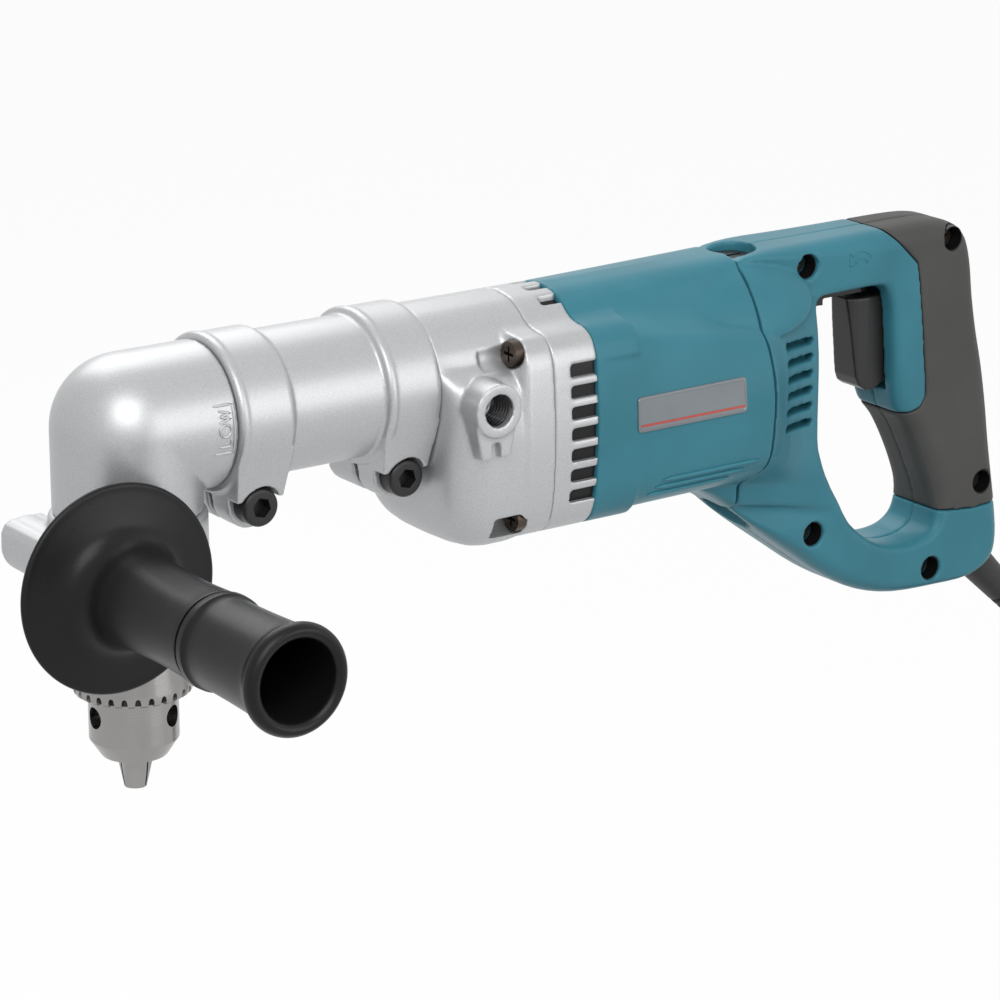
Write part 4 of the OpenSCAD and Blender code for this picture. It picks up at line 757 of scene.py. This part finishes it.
def inset(outline, d):  # outline moved inwards
    n = len(outline)
    way = 1 if sum(a[0] * b[1] - b[0] * a[1] for a, b in zip(outline, outline[1:] + outline[:1])) > 0 else -1
    out = []
    for i in range(n):
        a, p, b = Vector(outline[i - 1]), Vector(outline[i]), Vector(outline[(i + 1) % n])
        u, v = (p - a).normalized(), (b - p).normalized()
        m = Vector((-u.y - v.y, u.x + v.x)) * way
        out.append(tuple(p + m * d * 2 / max(m.length_squared, 0.5)))
    return out


def handleHalf(label, side):
    seam, cut = stations["handle0"], handleFacts["cover"]
    whole = handleSkin("handleShell" + label, side)
    cover = linked("gripCover" + label, whole.data.copy())
    combine(whole, [flankSwell(side, seam, seam + motorFacts["swellRun"])], "UNION")
    combine(whole, [prism(cut, -40, 40)] + handleRooms(side))
    combine(cover, [prism(inset(cut, 0.4), -40, 40)], "INTERSECT")
    combine(cover, [block(*roomFacts["trigger"]), rod("x", *roomFacts["stem"])])
    for obj, finish, slot, node in ((whole, "tealShell", "blue_shell", "handle_"),
                                    (cover, "softCover", "soft_cover", "grip_")):
        if side < 0:
            combine(obj, screwRecesses())
        soften(obj, 0.8, 4)
        finishPiece(obj, finish, "housing", slot, node + label.lower(), angle=50)


# black liners that paint the shade low in the handle's screw recesses
linerFacts = {"fit": 0.08, "wall": 0.4, "depth": 6.4, "y": -9.1}


def screwShadeLiners():  # painted shade: black liners low in the screw recesses, where the teal walls lie in shadow
    f = linerFacts
    r, n = handleFacts["recess"] - f["fit"], f["depth"]
    profile = [(r, 0), (r, n), (r - f["wall"], n), (r - f["wall"], 0), (r, 0)]
    liners = [lathe("screwShadeLiners", profile, (x, f["y"], z), (0, -1, 0), 48) for x, z in handleFacts["screws"]]
    return finishPiece(joined(liners), "blackMoulding", "housing", "black_plastic", angle=40)


handleHalf("Left", -1)
handleHalf("Right", 1)
screwShadeLiners()


# trigger and reversing lever with softened edges
def softCopy(node, name, grain, passes):
    mesh = nodes[node].data.copy()
    soup = bmesh.new()
    soup.from_mesh(mesh)
    bmesh.ops.remove_doubles(soup, verts=soup.verts, dist=1e-6)
    soup.to_mesh(mesh)
    soup.free()
    return soften(linked(name, mesh), grain, passes)


triggerKey = softCopy("trigger", "triggerKey", 0.5, 8)
finishPiece(triggerKey, "triggerBlack", "trigger", "black_plastic", "trigger", angle=60)
reversingKey = softCopy("reversing_lever", "reversingKey", 0.4, 5)
finishPiece(reversingKey, "triggerBlack", "lever", "black_plastic", "reversing_lever", angle=60)


# cord guard with ribs
guardFacts = {"rootRadius": 8.2, "tipRadius": 5.8, "tailRadius": 6.4, "tail": 15.0, "ribs": 3, "ribsFrom": 0.68,
              "ribsShare": 0.3, "groove": 1.5}


def cordGuard():
    g = guardFacts
    root, end = Vector(cordFacts["guardRoot"]), Vector(cordFacts["guardEnd"])
    length = (end - root).length

    def radius(s):
        return g["rootRadius"] + (g["tipRadius"] - g["rootRadius"]) * s / length

    profile = [[0, -g["tail"]], [g["tailRadius"], -g["tail"]], [g["tailRadius"], 0], [g["rootRadius"], 0.1]]
    s = length * g["ribsFrom"]
    pitch = length * g["ribsShare"] / g["ribs"]
    profile.append([radius(s - 2), s - 2])
    for k in range(g["ribs"]):
        floor = radius(s) - g["groove"]
        profile += [[radius(s), s], [radius(s) - 0.3, s + 0.3], [floor, s + 0.5], [floor, s + pitch * 0.42],
                    [radius(s) - 0.3, s + pitch * 0.5], [radius(s + pitch * 0.55), s + pitch * 0.55]]
        s += pitch
    profile += [[g["tipRadius"], length - 0.6], [g["tipRadius"] - 0.5, length], [0, length]]
    guard = lathe("cordGuard", profile, root, end - root, 64)
    return finishPiece(guard, "cordRubber", "housing", "cord_rubber", "cord_guard")


cordGuard()


# joint sleeve with two clamp bands
sleeveFacts = {"x0": 31.6, "x1": 120.6, "radius": 27.6, "bore": 23.86, "bandRadius": 30.5, "bandWidth": 24.0,
               "bolt": -34.0, "boltHole": 4.2, "earRadius": 9.8, "earHalf": 19.5, "earBack": 1.4, "earTop": -14.0,
               "seatY": -13.0, "seatRise": 3.0, "seatRadius": 8.5, "slit": 3.0}
bandMiddles = (sleeveFacts["x0"] + sleeveFacts["bandWidth"] / 2, sleeveFacts["x1"] - sleeveFacts["bandWidth"] / 2)


def clampEar(a, b):  # walls run off the ring as tangents down to the bolt
    f = sleeveFacts
    e, half, low, r = (a + b) / 2 + f["earBack"], f["earHalf"], f["bolt"], f["earRadius"]
    ring = f["bandRadius"] - 0.5
    t = atan2(low, half) + acos(ring / hypot(low, half))
    wall = [(ring * cos(t), ring * sin(t)), (half, low), (half, low - r)]
    ear = beam(wall + [(-y, z) for y, z in reversed(wall)], a, b)
    sides = prism([(a, 0), (a, f["earTop"]), (e - r, low), (e + r, low), (b, f["earTop"]), (b, 0)], -40, 40)
    combine(sides, [rod("y", -40, 40, r, (e, low))], "UNION")
    return combine(ear, [sides], "INTERSECT")


def jointSleeve():
    f = sleeveFacts
    r, w, low = f["bandRadius"], f["bandWidth"], f["bolt"]
    ring = [(0, 0), (r - 1.6, 0), (r - 0.5, 0.5), (r, 1.6), (r, 3), (r - 0.5, 4), (r - 0.5, w - 2),
            (r - 1.6, w), (0, w)]
    obj = bar("jointSleeve", (f["x0"], 0, 0), (1, 0, 0), 0, f["x1"] - f["x0"], f["radius"], 128)
    adds, cuts = [], [rod("x", f["x0"] - 1, f["x1"] + 1, f["bore"], segments=128)]
    for x in bandMiddles:
        a, b, e = x - w / 2, x + w / 2, x + f["earBack"]
        adds += [lathe("band", ring, (a, 0, 0), (1, 0, 0), 128), clampEar(a, b)]
        cuts += [block(a - 1, b + 1, -f["slit"] / 2, f["slit"] / 2, low - 12, -10),
                 rod("y", -30, 30, f["boltHole"], (e, low)), rod("y", -60, f["seatY"], f["seatRadius"], (e, low)),
                 block(a - 1, b + 1, -60, f["seatY"], low - 20, low + f["seatRise"])]
    combine(obj, adds, "UNION")
    combine(obj, cuts)
    soften(obj, 0.65, 4)
    return finishPiece(obj, "castSilver", "housing", "cast_aluminium", "joint_sleeve", angle=50)


boltFacts = {"head": 7.5, "height": 8.0, "round": 1.5, "shank": 4.0, "length": 42.5, "key": 7.0, "keyDepth": 5.0}


def clampBolts():  # hex socket screws with rounded heads
    f, b = sleeveFacts, boltFacts
    c, corner = b["round"], b["key"] / sqrt(3)
    rim = [(b["head"] - c + c * sin(radians(a)), c - c * cos(radians(a))) for a in range(0, 91, 15)]
    shape = [(0, 0)] + rim + [(b["head"], b["height"]), (b["shank"], b["height"]), (b["shank"], b["length"]),
                              (0, b["length"])]
    made = []
    for x in bandMiddles:
        base = (x + f["earBack"], f["seatY"] - b["height"], f["bolt"])
        bolt = lathe("clampBolts", shape, base, (0, 1, 0), 64)
        made.append(combine(bolt, [bar("key", base, (0, 1, 0), -1, b["keyDepth"], corner, 6)]))
    return finishPiece(joined(made), "blackedSteel", "housing", "dark_steel", "clamp_bolts", angle=40)


jointSleeve()
clampBolts()


# angle head
headFacts = {"radius": 28.0, "reach": 31.4, "spigot": 23.8, "spigotEnd": 56.6, "hollow": 22.5, "bore": 19.2,
             "boreEnd": 34, "seat": 20.05, "seatFrom": 33.4, "seatEnd": 60}


def ball(name, r, steps, segments):
    run = [(r * sin(pi * k / steps), -r * cos(pi * k / steps)) for k in range(1, steps)]
    return lathe(name, [(0, -r)] + run + [(0, r)], (0, 0, 0), (0, 0, 1), segments)


def legs(start, end, r, segments=64):  # the same bar in both legs
    return [rod("x", start, end, r, segments=segments), rod("z", -end, -start, r, segments=segments)]


def angleHead():
    f = headFacts
    obj = ball("angleHead", f["radius"], 48, 128)
    combine(obj, legs(0, f["reach"], f["radius"], 128) + legs(f["reach"] - 1, f["spigotEnd"], f["spigot"], 96), "UNION")
    combine(obj, [ball("hollow", f["hollow"], 32, 64)] + legs(0, f["boreEnd"], f["bore"])
            + legs(f["seatFrom"], f["seatEnd"], f["seat"]))
    soften(obj, 0.75, 6)
    return finishPiece(obj, "castSilver", "head", "cast_aluminium", "angle_head", angle=50)


gripFacts = {"collar": [(0, 0), (28.4, 0), (29.6, 1.2), (29.6, 23.2), (28.4, 24.4), (0, 24.4)], "foot": -56,
             "boss": [(0, 0), (9.4, 0), (10.7, 1.3), (10.7, 65.5), (9.4, 66.8), (0, 66.8)], "bossStart": -33.4,
             "axis": (-25.4, -48), "web": (-25.4, 0, -22, 22, -56, -37.3), "flatHalf": 32.6,
             "flat": [(-35.9, -50), (-35.9, -42.6), (-34.6, -39.6), (-31.6, -38), (-19, -37.6), (-16, -40), (-16, -50)],
             "bore": (-57, -30, 23.85), "sockets": [(-34.4, -18.4, 6), (18.4, 34.4, 6)]}


def gripBase():  # collar with a cross boss that is flat on top
    f = gripFacts
    obj = lathe("gripBase", f["collar"], (0, 0, f["foot"]), (0, 0, 1), 128)
    boss = lathe("boss", f["boss"], (f["axis"][0], f["bossStart"], f["axis"][1]), (0, 1, 0), 96)
    combine(obj, [boss, block(*f["web"]), prism(f["flat"], -f["flatHalf"], f["flatHalf"])], "UNION")
    combine(obj, [rod("z", *f["bore"], segments=128)] + [rod("y", *hole, f["axis"]) for hole in f["sockets"]])
    soften(obj, 0.7, 4)
    return finishPiece(obj, "castSilver", "head", "cast_aluminium", "grip_base", angle=50)


angleHead()
gripBase()


# side handle with its hand guard
sideFacts = {"axisX": -25.4, "axisZ": -48.0, "start": -33.6, "disc": 39.5, "grip": 17.5, "rim": 20.3, "hole": 14.7,
             "length": 124.0, "holeDepth": 62.0}


def sideHandle():
    f = sideFacts
    d, g, r, n, hole = f["disc"], f["grip"], f["rim"], f["length"], f["hole"]
    floor = n - f["holeDepth"]
    outer = [(d - 3, 0), (d - 0.8, 0.6), (d, 2), (d - 0.8, 3.2), (d - 4, 3.6), (26, 5.6), (21.6, 8.4), (19, 13),
             (18, 19), (g - 0.2, 27), (g - 0.9, 48), (g - 0.2, 69)]
    groove = [(g, 70), (g - 0.1, 70.5), (g - 1.3, 70.8), (g - 1.3, 71.6), (g + 0.2, 71.9), (g + 0.45, 72.5),
              (g + 0.3, 75), (g - 0.5, 76)]
    rear = [(g - 0.8, 79), (g - 0.4, 96), (g + 0.3, n - 12), (g + 0.8, n - 8.6), (r - 0.9, n - 6.6), (r - 0.1, n - 4.6),
            (r, n - 3.4), (r - 0.4, n - 1.8), (r - 1.4, n - 0.5), (r - 2.6, n), (r - 4, n - 0.3), (hole + 0.4, n - 1.4),
            (hole, n - 3)]
    profile = [(0, 0), (d - 3.2, 0)] + curveThrough([list(p) for p in outer], 4) + groove
    profile += curveThrough([list(p) for p in rear], 3) + [(hole, floor + 1), (hole - 1, floor), (0, floor)]
    obj = lathe("sideHandle", profile, (f["axisX"], f["start"], f["axisZ"]), (0, -1, 0), 128)
    return finishPiece(obj, "blackMoulding", "head", "black_plastic", "side_handle", angle=35)


sideHandle()


# keyed chuck: turned body, toothed ring and three jaws
chuckFacts = {"top": -68.8, "foot": -102.4, "coneFrom": -120.1, "end": -126.9, "radius": 17.0, "upper": 18.75,
              "noseBore": 5.4, "spindle": 8.6, "spindleEnd": -86.5, "nutRoom": (13.4, 24, -99.25, -92.75),
              "keyHole": (8, 30, 4.2), "keyZ": -110.0, "keyTurn": 60.0}
ringFacts = {"inner": 19.05, "outer": 22.6, "foot": -102.1, "top": -69.8, "gaps": 28, "gapTurn": 0.3, "gapFloor": 19.5,
             "gap": [(-1.3, -103), (1.3, -103), (1.1, -99.7), (0.8, -98.7), (0.3, -98.3), (-0.3, -98.3), (-0.8, -98.7),
                     (-1.1, -99.7)], "shade": (-101.9, -98.1)}
jawFacts = {"radius": 5.0, "fit": 0.15, "root": (1.65, -130.0), "tilt": 15.0, "turn": 114.7, "low": -13.0, "high": 28.0,
            "travel": 15.0, "tip": -140.2, "split": 0.5}


def hoop(name, near, far, low, high, segments):  # square ring about the spindle
    profile = [(near, low), (far, low), (far, high), (near, high), (near, low)]
    return lathe(name, profile, (0, 0, 0), (0, 0, 1), segments)


def spun(x, y, z, a):  # point turned about the spindle
    return (x * cos(a) - y * sin(a), x * sin(a) + y * cos(a), z)


def jawBar(name, k, r, low, high):  # slanted round bar of one jaw
    f = jawFacts
    a, t = radians(f["turn"] + 120 * k), radians(f["tilt"])
    out = Vector((cos(a), sin(a), 0))
    way = out * sin(t) + Vector((0, 0, cos(t)))
    return bar(name, out * f["root"][0] + Vector((0, 0, f["root"][1])), way, low, high, r, 64)


def chuckBody():
    f, j = chuckFacts, jawFacts
    r, end, top, foot = f["radius"], f["end"], f["top"], f["foot"]
    profile = [(0, end), (12.4, end), (12.8, end + 0.4), (r, f["coneFrom"]), (r, foot), (f["upper"], foot),
               (f["upper"], top), (0, top)]
    obj = lathe("chuckBody", profile, (0, 0, 0), (0, 0, 1), 128)
    cuts = [rod("z", f["spindleEnd"], top + 1, f["spindle"]), rod("z", end - 1, foot, f["noseBore"]),
            hoop("nutRoom", *f["nutRoom"], 96)]
    for k in range(3):
        a = radians(f["keyTurn"] + 120 * k)
        cuts.append(bar("keyHole", (0, 0, f["keyZ"]), (cos(a), sin(a), 0), *f["keyHole"], 48))
        cuts.append(jawBar("jawBore", k, j["radius"] + j["fit"], j["low"] - 8, j["high"] + j["travel"] + 0.3))
    return finishPiece(combine(obj, cuts), "spunSteel", "chuck", "steel", "chuck_body", angle=30)


def chuckRing():
    f = ringFacts
    i, o, foot, top = f["inner"], f["outer"], f["foot"], f["top"]
    profile = [(i, foot), (o - 1.6, foot), (o - 0.4, foot + 0.8), (o, foot + 2), (o, foot + 4.4), (20.9, -89),
               (20.5, top + 0.8), (19.9, top), (i, top), (i, foot)]
    obj = lathe("chuckRing", profile, (0, 0, 0), (0, 0, 1), 168)
    cuts = []
    for k in range(f["gaps"]):
        a = radians(f["gapTurn"] + 360 * k / f["gaps"])
        ends = [[spun(d, t, z, a) for t, z in f["gap"]] for d in (f["gapFloor"], o + 3)]
        cuts.append(addMesh("gap", *skin(ends)))
    return finishPiece(combine(obj, cuts), "spunSteel", "chuck_ring", "steel", "chuck_sleeve", angle=30)


def ringShade():  # painted shade: dark band at the floor of the gaps between the teeth, standing in for their shadow
    d = ringFacts["gapFloor"]
    obj = hoop("ringShade", d - 0.2, d + 0.15, *ringFacts["shade"], 128)
    return finishPiece(obj, "blackedSteel", "chuck_ring", "dark_steel", angle=30)


def chuckJaws():
    f = jawFacts
    kite = [(f["split"], 0), (20, 34), (80, 0), (20, -34)]
    for k in range(3):
        n = str(k + 1)
        a = radians(f["turn"] + 120 * k)
        wedge = addMesh("kite", *skin([[spun(x, y, z, a) for x, y in kite] for z in (f["tip"], -60)]))
        obj = combine(jawBar("chuckJaw" + n, k, f["radius"], f["low"], f["high"]), [wedge], "INTERSECT")
        finishPiece(obj, "spunSteel", "jaw_" + n, "steel", "chuck_jaw_" + n, angle=30)


chuckBody()
chuckRing()
ringShade()
chuckJaws()


# bare name plate, rib lines and direction marks on the flank
plateFacts = {"x0": 204.5, "x1": 258.5, "z0": -27.2, "z1": -13.0, "corner": 1.6, "half": (27, 7),
              "edge": [(0, -0.6), (0, 0.5), (0.25, 0.75), (0.9, 0.75), (1.1, 0.5)],
              "stripe": [(2.2, 0.2), (2.2, 0.62), (3.1, 0.62), (3.1, 0.2)], "stripeEnd": 1.4, "stripeSteps": 12}


def namePlate():
    f = plateFacts
    mx, mz = (f["x0"] + f["x1"]) / 2, (f["z0"] + f["z1"]) / 2
    rings = []
    for pull, lift in f["edge"]:
        ring = []
        for x, z, _ in roundedLoop(f["x0"], f["x1"], f["z0"], f["z1"], f["corner"], 5):
            px, pz = mx + (x - mx) * (1 - pull / f["half"][0]), mz + (z - mz) * (1 - pull / f["half"][1])
            ring.append((px, -flankY(px, pz) - lift, pz))
        rings.append(ring)
    return finishPiece(addMesh("namePlate", *skin(rings)), "plateGrey", "housing", "blue_shell", angle=30)


ribFacts = {"rows": 3, "top": -49.2, "pitch": 2.9, "start": 219, "shift": 3, "length": 48.5, "shorter": 3.5,
            "radius": 0.85, "lift": 0.3, "steps": 18}


def flankRibs():
    f = ribFacts
    skins = []
    for row in range(f["rows"]):
        z = f["top"] - f["pitch"] * row
        for side in (-1, 1):
            rings = []
            for k in range(f["steps"] + 1):
                x = f["start"] - f["shift"] * row + (f["length"] - f["shorter"] * row) * k / f["steps"]
                r = f["radius"] * min(1, 0.25 + min(k, f["steps"] - k) / 2)
                y = side * (flankY(x, z) + f["lift"])
                rings.append([(x, y + r * cos(a), z + r * sin(a)) for a in circle(8)])
            skins.append(skin(rings))
    return finishPiece(addMesh("flankRibs", *merged(skins)), "tealShell", "housing", "blue_shell", angle=60)


def tubes(name, paths, r, sides=8):  # raised lines along paths of points
    skins = []
    for path in paths:
        line = [Vector(p) for p in path]
        rings = []
        for i, p in enumerate(line):
            x, y, _ = basis(line[min(i + 1, len(line) - 1)] - line[max(i - 1, 0)])
            k = 0.6 if i in (0, len(line) - 1) else 1.0
            rings.append([p + (x * cos(a) + y * sin(a)) * r * k for a in circle(sides)])
        skins.append(skin(rings))
    return addMesh(name, *merged(skins))


def dense(path, steps=6):
    return [mix(a, b, k / steps) for a, b in zip(path, path[1:]) for k in range(steps)] + [list(path[-1])]


speedMark = {"x": 25.9, "turnDeg": 2.0, "line": 0.58, "frame": [[(-4.2, 9.2), (3.8, 9.2), (3.8, -9.2), (-4.2, -9.2)]],
             "letters": [[(-2.4, -6.6), (2.4, -6.6), (2.4, -3.4)],
                         [(2.4 * sin(radians(a)), -0.4 + 2.3 * cos(radians(a)))
                          for a in range(0, 361, 24)],
                         [(-2.4, 2.8), (2.4, 4.0), (-2.4, 5.0), (2.4, 6.0), (-2.4, 7.2)]]}


def headMark():  # LOW in an open frame, read upwards on the elbow's near side
    m = speedMark
    r = headFacts["radius"] - 0.05
    paths = []
    for path in m["frame"] + m["letters"]:
        line = []
        for x, up in dense(path):
            a = radians(m["turnDeg"]) + up / r
            line.append((m["x"] + x, -r * cos(a), r * sin(a)))
        paths.append(line)
    return finishPiece(tubes("speedMark", paths, m["line"]), "castSilver", "head", "cast_aluminium", angle=60)


turnMark = {"at": (335.5, 15.4), "y": -17.5, "arc": (30, 128), "radii": (4.2, 7.0), "head": (2.4, 8.8), "tip": 166,
            "line": 0.3}


def handleMark():  # outline of a bent arrow beside the reversing lever
    m = turnMark

    def spot(r, deg):
        a = radians(deg)
        return (m["at"][0] + r * cos(a), m["y"], m["at"][1] + r * sin(a))

    arc = [mix(m["arc"][:1], m["arc"][1:], k / 8)[0] for k in range(9)]
    path = [spot(m["radii"][1], a) for a in arc]
    path += [spot(m["head"][1], m["arc"][1]), spot(sum(m["radii"]) / 2, m["tip"]), spot(m["head"][0], m["arc"][1])]
    path += [spot(m["radii"][0], a) for a in reversed(arc)]
    path = dense(path + path[:1], 2)
    return finishPiece(tubes("turnMark", [path], m["line"]), "tealShell", "housing", "blue_shell", angle=60)


def bossThreads():
    g = gearFacts
    (turns, pitch), r = g["thread"], g["threadRadius"] + 0.4
    paths = []
    for side in (-1, 1):
        paths.append([(g["bossX"] + r * cos(t), side * (g["bossY"] - 1.6 - pitch * t / (2 * pi)),
                       g["bossZ"] + r * sin(t)) for t in [2 * pi * k / 24 for k in range(24 * turns)]])
    return finishPiece(tubes("bossThreads", paths, 0.55, 6), "blackedSteel", "housing", "cast_aluminium", angle=60)


def plateStripe():
    f = plateFacts
    span, n = f["x1"] - f["x0"] - 2 * f["stripeEnd"], f["stripeSteps"]
    rings = []
    for k in range(n + 1):
        x = f["x0"] + f["stripeEnd"] + span * k / n
        rings.append([(x, -flankY(x, f["z0"] + up) - lift, f["z0"] + up) for up, lift in f["stripe"]])
    return finishPiece(addMesh("plateStripe", *skin(rings)), "stripeRed", "housing", "blue_shell", angle=30)


namePlate()
plateStripe()
flankRibs()
headMark()
handleMark()
bossThreads()


# finishes of the pieces that stay as solids
solidFinishes = {
    "turnedSteel": ["stator_core", "shaft_bearings", "armature_shaft", "rotor_core", "intermediate_shaft",
                    "intermediate_gear", "output_shaft", "output_gear", "head_bearings", "handle_stud", "bevel_pinion",
                    "bevel_gear", "spindle", "chuck_nut"],
    "castSilver": ["gear_plate", "bearing_rings"],
    "bronzeScrew": ["housing_screws", "handle_screws"],
    "blackMoulding": ["switch_body", "brush_caps", "cooling_fan"],
    "copperWire": ["field_coils", "brush_holders", "rotor_windings", "commutator"],
    "carbonBlock": ["carbon_brushes"],
}
for finish, names in solidFinishes.items():
    for name in names:
        dress(shade(nodes[name], 32), finish)
print("solids dressed")


# studio
studio = {"floor": -395.0, "floorHalf": 4000, "floorTone": 0.42, "paperTone": 0.98, "seen": 0.94, "aim": (200, 0, -40),
          "sky": [(0.0, 0.18), (0.5, 0.2), (0.7, 0.42), (0.95, 0.5)],
          "lamps": [{"name": "keyLamp", "at": (-450, -950, 800), "size": 0.9, "power": 9.5},
                    {"name": "fillLamp", "at": (650, -1150, 250), "size": 0.8, "power": 4},
                    {"name": "rimLamp", "at": (300, 800, 900), "size": 1.0, "power": 7}]}


def seenRays(tree):  # camera, mirrored and see-through rays meet the white backdrop
    path = addNode(tree, "ShaderNodeLightPath")
    out = path.outputs["Is Camera Ray"]
    for kind in ("Is Glossy Ray", "Is Transmission Ray"):
        join = addNode(tree, "ShaderNodeMath")
        join.operation = "MAXIMUM"
        wire(tree, (out, join.inputs[0]), (path.outputs[kind], join.inputs[1]))
        out = join.outputs["Value"]
    return out


def blendOut(tree, fac, first, second, target):  # mix of two shaders as the tree's surface
    blend = addNode(tree, "ShaderNodeMixShader")
    wire(tree, (fac, blend.inputs["Fac"]), (first, blend.inputs[1]), (second, blend.inputs[2]),
         (blend.outputs["Shader"], tree.nodes[target].inputs["Surface"]))


def addFloor():
    half, z = studio["floorHalf"], studio["floor"]
    floor = addMesh("floor", [(-half, -half, z), (half, -half, z), (half, half, z), (-half, half, z)], [(0, 1, 2, 3)])
    mat, tree, shader = newFinish("floorPaper", (studio["floorTone"],) * 3, 0.9)
    rays = seenRays(tree)
    tone = addNode(tree, "ShaderNodeMapRange", ("To Min", studio["floorTone"]), ("To Max", studio["paperTone"]))
    seen = addNode(tree, "ShaderNodeMath", (1, studio["seen"]))
    seen.operation = "MULTIPLY"
    light = addNode(tree, "ShaderNodeEmission", ("Strength", 1.0))
    wire(tree, (rays, tone.inputs["Value"]), (tone.outputs["Result"], shader.inputs["Base Color"]),
         (rays, seen.inputs[0]))
    blendOut(tree, seen.outputs["Value"], shader.outputs["BSDF"], light.outputs["Emission"], "Material Output")
    floor.data.materials.append(mat)


def addSky():
    world = bpy.data.worlds.new("studio")
    world.use_nodes = True
    bpy.context.scene.world = world
    tree = world.node_tree
    sky = tree.nodes["Background"]
    coords = addNode(tree, "ShaderNodeTexCoord")
    height = addNode(tree, "ShaderNodeSeparateXYZ")
    span = addNode(tree, "ShaderNodeMapRange", ("From Min", -1.0))
    ramp = addNode(tree, "ShaderNodeValToRGB")
    setRamp(ramp, [(spot, (tone,) * 3) for spot, tone in studio["sky"]])
    white = addNode(tree, "ShaderNodeBackground", ("Color", (1, 1, 1, 1)))
    wire(tree, (coords.outputs["Generated"], height.inputs["Vector"]), (height.outputs["Z"], span.inputs["Value"]),
         (span.outputs["Result"], ramp.inputs["Fac"]), (ramp.outputs["Color"], sky.inputs["Color"]))
    blendOut(tree, seenRays(tree), sky.outputs["Background"], white.outputs["Background"], "World Output")


def addLamps():
    for lamp in studio["lamps"]:
        data = bpy.data.lights.new(lamp["name"], "AREA")
        data.energy = lamp["power"]
        data.size = lamp["size"]
        obj = linked(lamp["name"], data)
        obj.location = place(lamp["at"])
        obj.rotation_euler = (place(studio["aim"]) - obj.location).to_track_quat("-Z", "Y").to_euler()


addFloor()
addSky()
addLamps()
bpy.context.scene.view_settings.view_transform = "Standard"
print("studio set")
